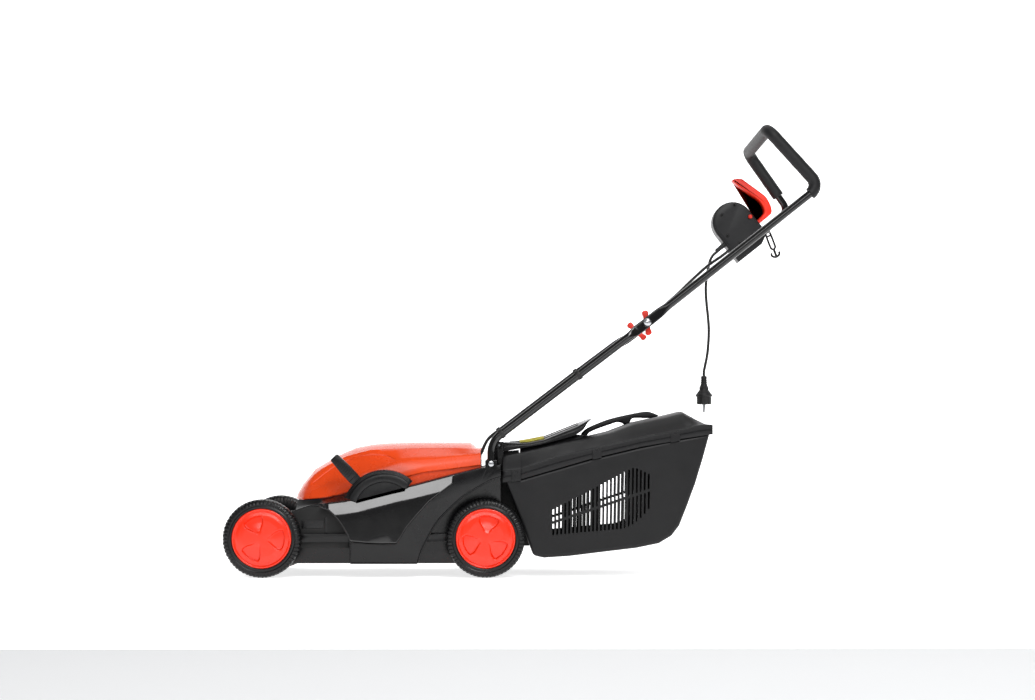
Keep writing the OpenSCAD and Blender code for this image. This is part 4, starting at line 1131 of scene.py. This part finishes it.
def flap_section(x, skin):
    """Half cross-section of the flap at x: arched top, rounded shoulder, skirt that runs out at the tip."""
    top, edge = on_curve(FLAP_TOP, x), on_curve(FLAP_EDGE, x)
    edge = min(edge, top - 2.2)
    arch = 7.0 * smooth((x + 46) / 60) * smooth((170 - x) / 60)
    deep = top - edge
    rows = [(0, top), (40, top - 0.1 * arch), (74, top - 0.4 * arch), (98, top - 0.78 * arch),
            (109, top - arch - 0.03 * deep), (113.5, top - arch - 0.1 * deep),
            (115.6, top - arch - 0.24 * deep), (116, min(top - arch - 0.3 * deep, edge + 0.3 * deep)),
            (116, edge)]
    low = [z for _, z in rows]
    for i in range(1, len(low)):
        low[i] = max(edge, min(low[i], low[i - 1]))
    return [(max(0, y - (skin if y else 0)), max(z, edge) - (skin if y < 112 else 0))
            for (y, _), z in zip(rows, low)]


def make_flap():
    """Rear flap hinged on its rod, with a curled front end, ribs along it and a blank label."""
    bm = bmesh.new()
    xs = [-47, -46] + [-44 + 191 * i / 48 for i in range(49)] + [147.4]
    for side in (-1, 1):
        rings = []
        for x in xs:
            outer = [(x, side * y, z) for y, z in flap_section(x, 0)]
            inner = [(x, side * y, z) for y, z in flap_section(x, 3.2)][::-1]
            rings.append(outer + inner)
        join(bm, loft(rings))
    for y0, y1 in ((-116, -31), (31, 116)):
        join(bm, lathe([(2.7, y0), (6.0, y0), (6.5, y0 + 0.6), (6.5, y1 - 0.6), (6.0, y1), (2.7, y1)],
                       (-54, 0, 284), (0, 1, 0), 32))
    # The curl that joins the knuckles to the plate
    for y0, y1 in ((-116, -31), (31, 116)):
        curl = [(-54, 290.5), (-46, 290.2), (-38, 291), (-38, 287.5), (-46, 285), (-48.4, 284)]
        join(bm, along_y(curl, y0, y1, 0.4))
    for y in (-96, -52, 52, 96):
        path = []
        for i in range(12):
            x = -30 + 150 * i / 11
            half = flap_section(x, 0)
            z = on_curve([(a, b) for a, b in half[:6]], abs(y))
            path.append((x, y, z - 0.3))
        join(bm, tube(path, 1.5, 8))
    bmesh.ops.remove_doubles(bm, verts=bm.verts, dist=0.02)
    finish_piece("flap_cover", bm, "deck_black", "rear_flap", ("flap",), sharp=40)
    label = bmesh.new()
    rings = []
    for i in range(9):
        x = -9 + 54 * i / 8
        ring = []
        for y in (-104, -99, -80, -56, -30, 0, 30, 56, 80, 99, 104):
            z = on_curve(flap_section(x, 0)[:6], abs(y))
            ring.append(label.verts.new((x, y, z + 1.35)))
        rings.append(ring)
    bridge(label, rings, closed=False)
    bmesh.ops.solidify(label, geom=label.faces[:], thickness=0.2)
    # printed vinyl film, left blank: flat yellow, almost no gloss
    material("label_yellow", "#fff21c", roughness=0.6)
    piece = finish_piece("flap_label", label, "deck_black", "rear_flap", sharp=40)
    piece.data.materials[0] = MATERIALS["label_yellow"]


# ---------------------------------------------------------------- switch box, bail, hook

BOX_PT = Vector((500, 0, 549.7 + (500 - 267) * math.tan(math.radians(38.3))))


def on_tube(s, n, y=0.0):
    """A point s along the upper tube from the switch box's origin, n above it, at y."""
    return BOX_PT + UPPER * s + NORMAL * n + Vector((0, y, 0))


def tube_xz(points):
    return [(on_tube(s, n).x, on_tube(s, n).z) for s, n in points]


def switch_outline():
    dome = [(38.5 + 47.5 * math.cos(math.radians(a)), 61 + 47.5 * math.sin(math.radians(a)))
            for a in range(0, 181, 9)]
    return [(-9, -21), (60, -21), (78, -12), (84, -2), (86, 6)] + dome


def make_switch_box():
    """Two half shells clamped round the tube, with a raised face plate and recessed screws."""
    full = switch_outline()
    for name, y0, y1 in (("switch_box_inner", 152.2, 175.8), ("switch_box_outer", 176.2, 200)):
        bm = bmesh.new()
        outline = tube_xz(round_corners(full[:4], 4, 3, closed=False) + full[4:])
        if name == "switch_box_inner":
            rings = [(0.0, 4.0), (0.35, 2.2), (1.1, 1.0), (2.4, 0.25), (4.0, 0.0)]
            made = [[(x, y0 + dy, z) for x, z in offset_outline(outline, dx)] for dy, dx in rings]
            made += [[(x, y1 - 0.5, z) for x, z in outline],
                     [(x, y1, z) for x, z in offset_outline(outline, 0.5)]]
        else:
            made = [[(x, y0, z) for x, z in offset_outline(outline, 0.5)],
                    [(x, y0 + 0.5, z) for x, z in outline]]
            rings = [(4.0, 0.0), (2.4, 0.25), (1.1, 1.0), (0.35, 2.2), (0.0, 4.0)]
            made += [[(x, y1 - dy, z) for x, z in offset_outline(outline, dx)] for dy, dx in rings]
        join(bm, loft(made))
        finish_piece(name + "_shell", bm, "switch_grey", "handle", (name,), sharp=40)
    screws = [(495.5, 844.5), (466, 820.8), (529.6, 814.7), (479, 772), (507.6, 755.5)]
    holes = [[(x + 3.6 * math.cos(a), z + 3.6 * math.sin(a))
              for a in [2 * math.pi * k / 16 for k in range(16)]]
             for x, z in screws]
    face = offset_outline(tube_xz([(-9, -20), (60, -20), (78, -11), (85, 1), (86, 8)] + full[5:]), 4.2)
    plate = plate_with_holes(face, holes, 150.0, 152.8, 1.1)
    finish_piece("switch_face_plate", plate, "switch_grey", "handle", sharp=40)
    heads = bmesh.new()
    for x, z in screws:
        join(heads, lathe([(0, -0.2), (0.9, -0.2), (1.0, 0.5), (2.4, 0.6), (3.0, 0.2), (3.1, -0.4)],
                          (x, 152.0, z), (0, -1, 0), 16))
    finish_piece("switch_screws", heads, "inner_black", "handle", sharp=40)


def make_bail():
    """Red bail: a hooked lever on a pin through the switch box."""
    edge = [(492, 904.6), (498, 908), (514, 908.3), (525, 901.3), (561.6, 874.3), (573, 863.6), (582.6, 845),
            (584.6, 829), (577.2, 820.6), (569.2, 814), (557.2, 804), (545, 791), (536.9, 786.8),
            (529.5, 790), (529.8, 797.6), (535, 802.6), (548, 808), (556, 816), (563, 823.6), (566.6, 831),
            (564, 842), (553, 858.6), (528, 876), (505, 892.6)]
    curve = eased([Vector(p) for p in edge + edge[:1]], 3)[:-1]
    bm = along_y([tuple(p) for p in curve], 160.2, 191.8, 4.5, 5)
    join(bm, lathe([(0, 0), (3.6, 0), (4, 0.5), (4, 47.5), (3.6, 48), (0, 48)], on_tube(66, 24, 152),
                   (0, 1, 0), 24))
    finish_piece("bail_hook", bm, "bail_red", "bail", ("bail_lever",), sharp=50)
    bm = lathe([(0, -2.5), (3.4, -2.3), (4.4, -1.4), (4.9, 0), (4.9, 11), (0, 11)], on_tube(78, 46, 148.5),
               (0, 1, 0), 28)
    finish_piece("lock_button_cap", bm, "knob_red", "button", ("lock_button",), sharp=50)


def wire(points, radius, sides=12):
    path = eased(points, 5)
    return tube(path, radius, sides)


def make_hook():
    """Cord-relief hook: a split ring round the tube, a flat link and a double anchor hook."""
    bm = lathe([(8.7, -5), (10.3, -5), (10.6, -4.4), (10.6, 4.4), (10.3, 5), (8.7, 5)],
               on_tube(93, 0, HANDLE_Y), UPPER, 40)
    lean = math.radians(18)
    down = NORMAL * -math.cos(lean) - UPPER * math.sin(lean)
    across = UPPER * math.cos(lean) - NORMAL * math.sin(lean)
    origin = on_tube(93, 0, HANDLE_Y)

    def at(u, w, y=0.0):
        return origin + down * u + across * w + Vector((0, y, 0))

    frame_line = [at(10, -4.6), at(16, -5.6), at(44, -5.6), at(49, -3.0), at(51, 0), at(49, 3.0), at(44, 5.6),
                  at(16, 5.6), at(10, 4.6)]
    join(bm, wire(frame_line, 2.4))
    join(bm, wire([at(17, -5), at(17.6, 0), at(17, 5)], 2.2))
    join(bm, wire([at(50, 0), at(58, 0), at(68, 0)], 2.8))
    join(bm, wire([at(59.5, -9.2), at(63, -9.6), at(67.4, -6.6), at(69.6, 0), at(67.4, 6.6), at(63, 9.6),
                   at(59.5, 9.2)], 2.6))
    join(bm, wire([at(59.5, -9.2, -1), at(58.6, -9.0, -2)], 2.4))
    finish_piece("cord_relief_hook", bm, "lever_black", "handle", ("cable_hook",), sharp=50)


# ---------------------------------------------------------------- gland, pigtail, plug and motor cable

PIGTAIL = [(461.7, 158, 741.3), (453.8, 158, 735), (446, 158, 728), (440, 158, 718), (436, 157, 704),
           (432, 157, 685), (429, 156, 660), (428.5, 156, 640), (430, 156, 615), (433, 156, 585),
           (435, 156, 555), (434, 156, 525), (431, 156, 495), (426.5, 156, 472), (423.5, 156, 458),
           (423, 156, 452), (423, 156, 445)]
MOTOR_CABLE = [(488, 158, 743), (476, 158, 733.5), (462, 154, 723), (446, 138, 712), (425, 100, 696),
               (400, 50, 674), (372, -5, 648), (345, -60, 622), (320, -105, 600), (300, -130, 582),
               (288, -138, 571), (278, -140, 561), (255, -140, 541), (243, -142, 533), (225, -150, 523),
               (200, -160, 509), (170, -164, 487), (121.2, -164, 450.6), (102.2, -164, 436.1),
               (-45, -164, 324), (-64.1, -164, 309.4), (-77, -158.5, 298), (-86, -150, 283),
               (-90, -143.5, 272), (-94.5, -140, 265), (-104, -136, 260)]
PLUG = (423, 156, 445)


def make_pigtail():
    """Short lead with its moulded plug, hanging from the gland of the switch box."""
    bm = lathe([(2.9, -8), (3.5, -8), (3.5, -1), (6, 0), (6.1, 2), (5.2, 2.6), (5.9, 4), (5.8, 6.4), (5.0, 7),
                (5.6, 8.4), (5.5, 10.8), (4.8, 11.4), (5.3, 12.8), (5.2, 15.2), (4.5, 15.8), (4.9, 17.2),
                (4.8, 20), (4.2, 26), (3.25, 26)], on_tube(-9, 32, 158), -UPPER, 28)
    finish_piece("gland_sleeve", bm, "cord_black", "handle", ("box_gland",), sharp=45)
    route = eased(PIGTAIL, 4)
    cord = finish_piece("pigtail_lead", tube(route, 3.2, 14), "cord_black", "handle", ("pigtail_cord",),
                        sharp=60)
    x, y, top = PLUG
    profile = [(0, -66), (15, -66), (16.6, -65), (17, -63.4), (17, -48), (18.6, -47.4), (19.3, -46.6),
               (19.5, -45), (19.5, -43.6), (19, -42.4), (17, -41.6), (15.4, -38), (12, -34), (10.6, -32),
               (10.5, -28.6), (11, -28), (11, -26.4), (9.8, -25.6), (8.2, -21), (7.6, -20), (7.6, -17.6),
               (6.6, -17.2), (6.6, -16), (7.4, -15.6), (7.4, -13), (6.4, -12.6), (6.4, -11.4), (7.2, -11),
               (7.2, -8.4), (6.2, -8), (6.2, -6.8), (6.9, -6.4), (6.7, -1), (6.2, 0), (3.3, 0)]

    def flutes(angle, r, a):
        if -64 < a < -48 and r > 16:
            r -= 0.9 * (0.5 + 0.5 * math.cos(angle * 18))
        return r, a

    plug = finish_piece("moulded_plug", lathe(profile, (x, y, top), (0, 0, 1), 144, flutes), "cord_black",
                        "handle", ("plug_body",), sharp=40)
    pins = bmesh.new()
    for dy in (-9.5, 9.5):
        join(pins, lathe([(0, -85), (1.4, -84.7), (2.1, -83.8), (2.4, -82.4), (2.4, -66.2), (0, -66.2)],
                         (x, y + dy, top), (0, 0, 1), 20))
    pins = finish_piece("plug_pin_pair", pins, "pin_nickel", "handle", ("plug_pins",), sharp=50)


def make_motor_cable():
    """Motor cable from the switch box, across to the left tube and down it to the hood."""
    route = eased(MOTOR_CABLE, 4)
    bm = tube(route, 3.5, 14)
    bmesh.ops.recalc_face_normals(bm, faces=bm.faces)
    bmesh.ops.scale(bm, vec=(MM, MM, MM), verts=bm.verts)
    mesh = bpy.data.meshes.new("motor_cable")
    bm.to_mesh(mesh)
    bm.free()
    mesh.shade_smooth()
    mesh.materials.append(finish_for("cord_black"))
    cable = bpy.data.objects.new("motor_cable", mesh)
    bpy.context.scene.collection.objects.link(cable)
    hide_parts("motor_cable_upper", "motor_cable_lower")
    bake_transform(cable)


def make_small_parts():
    """Parts that keep their modelled shape, with worked edges."""
    for node, width in (("cable_clips", 0.6), ("tube_screws", 0.7), ("front_axle", 0.8), ("rear_axle", 0.8),
                        ("axle_straps", 0.8), ("link_rod", 0.7), ("blade", 0.4), ("blade_bolt", 0.5),
                        ("blade_carrier", 0.6), ("motor_housing_lower", 0.8), ("motor_housing_upper", 0.8),
                        ("hood_screws", 0.4), ("motor_bolts", 0.4), ("run_capacitor", 0.8),
                        ("front_axle_clips", 0.3), ("rear_axle_clips", 0.3), ("stator_core", 0.3),
                        ("cooling_fan", 0.3), ("rotor", 0.5), ("motor_bearings", 0.4),
                        ("stator_windings", 0.6), ("flap_rod", 0.4)):
        rounded_copy(node, width)


make_camera()
make_studio()
paint_nodes()
make_wheels()
make_lower_tube(-1, "lower_tube_left")
make_lower_tube(1, "lower_tube_right")
make_upper_handle()
make_foam()
make_fold_fixings()
make_hood()
make_deck()
make_panels()
make_guard()
make_lever()
make_box()
make_lid()
make_carry_handle()
make_flap()
make_switch_box()
make_bail()
make_hook()
make_pigtail()
make_motor_cable()
make_small_parts()
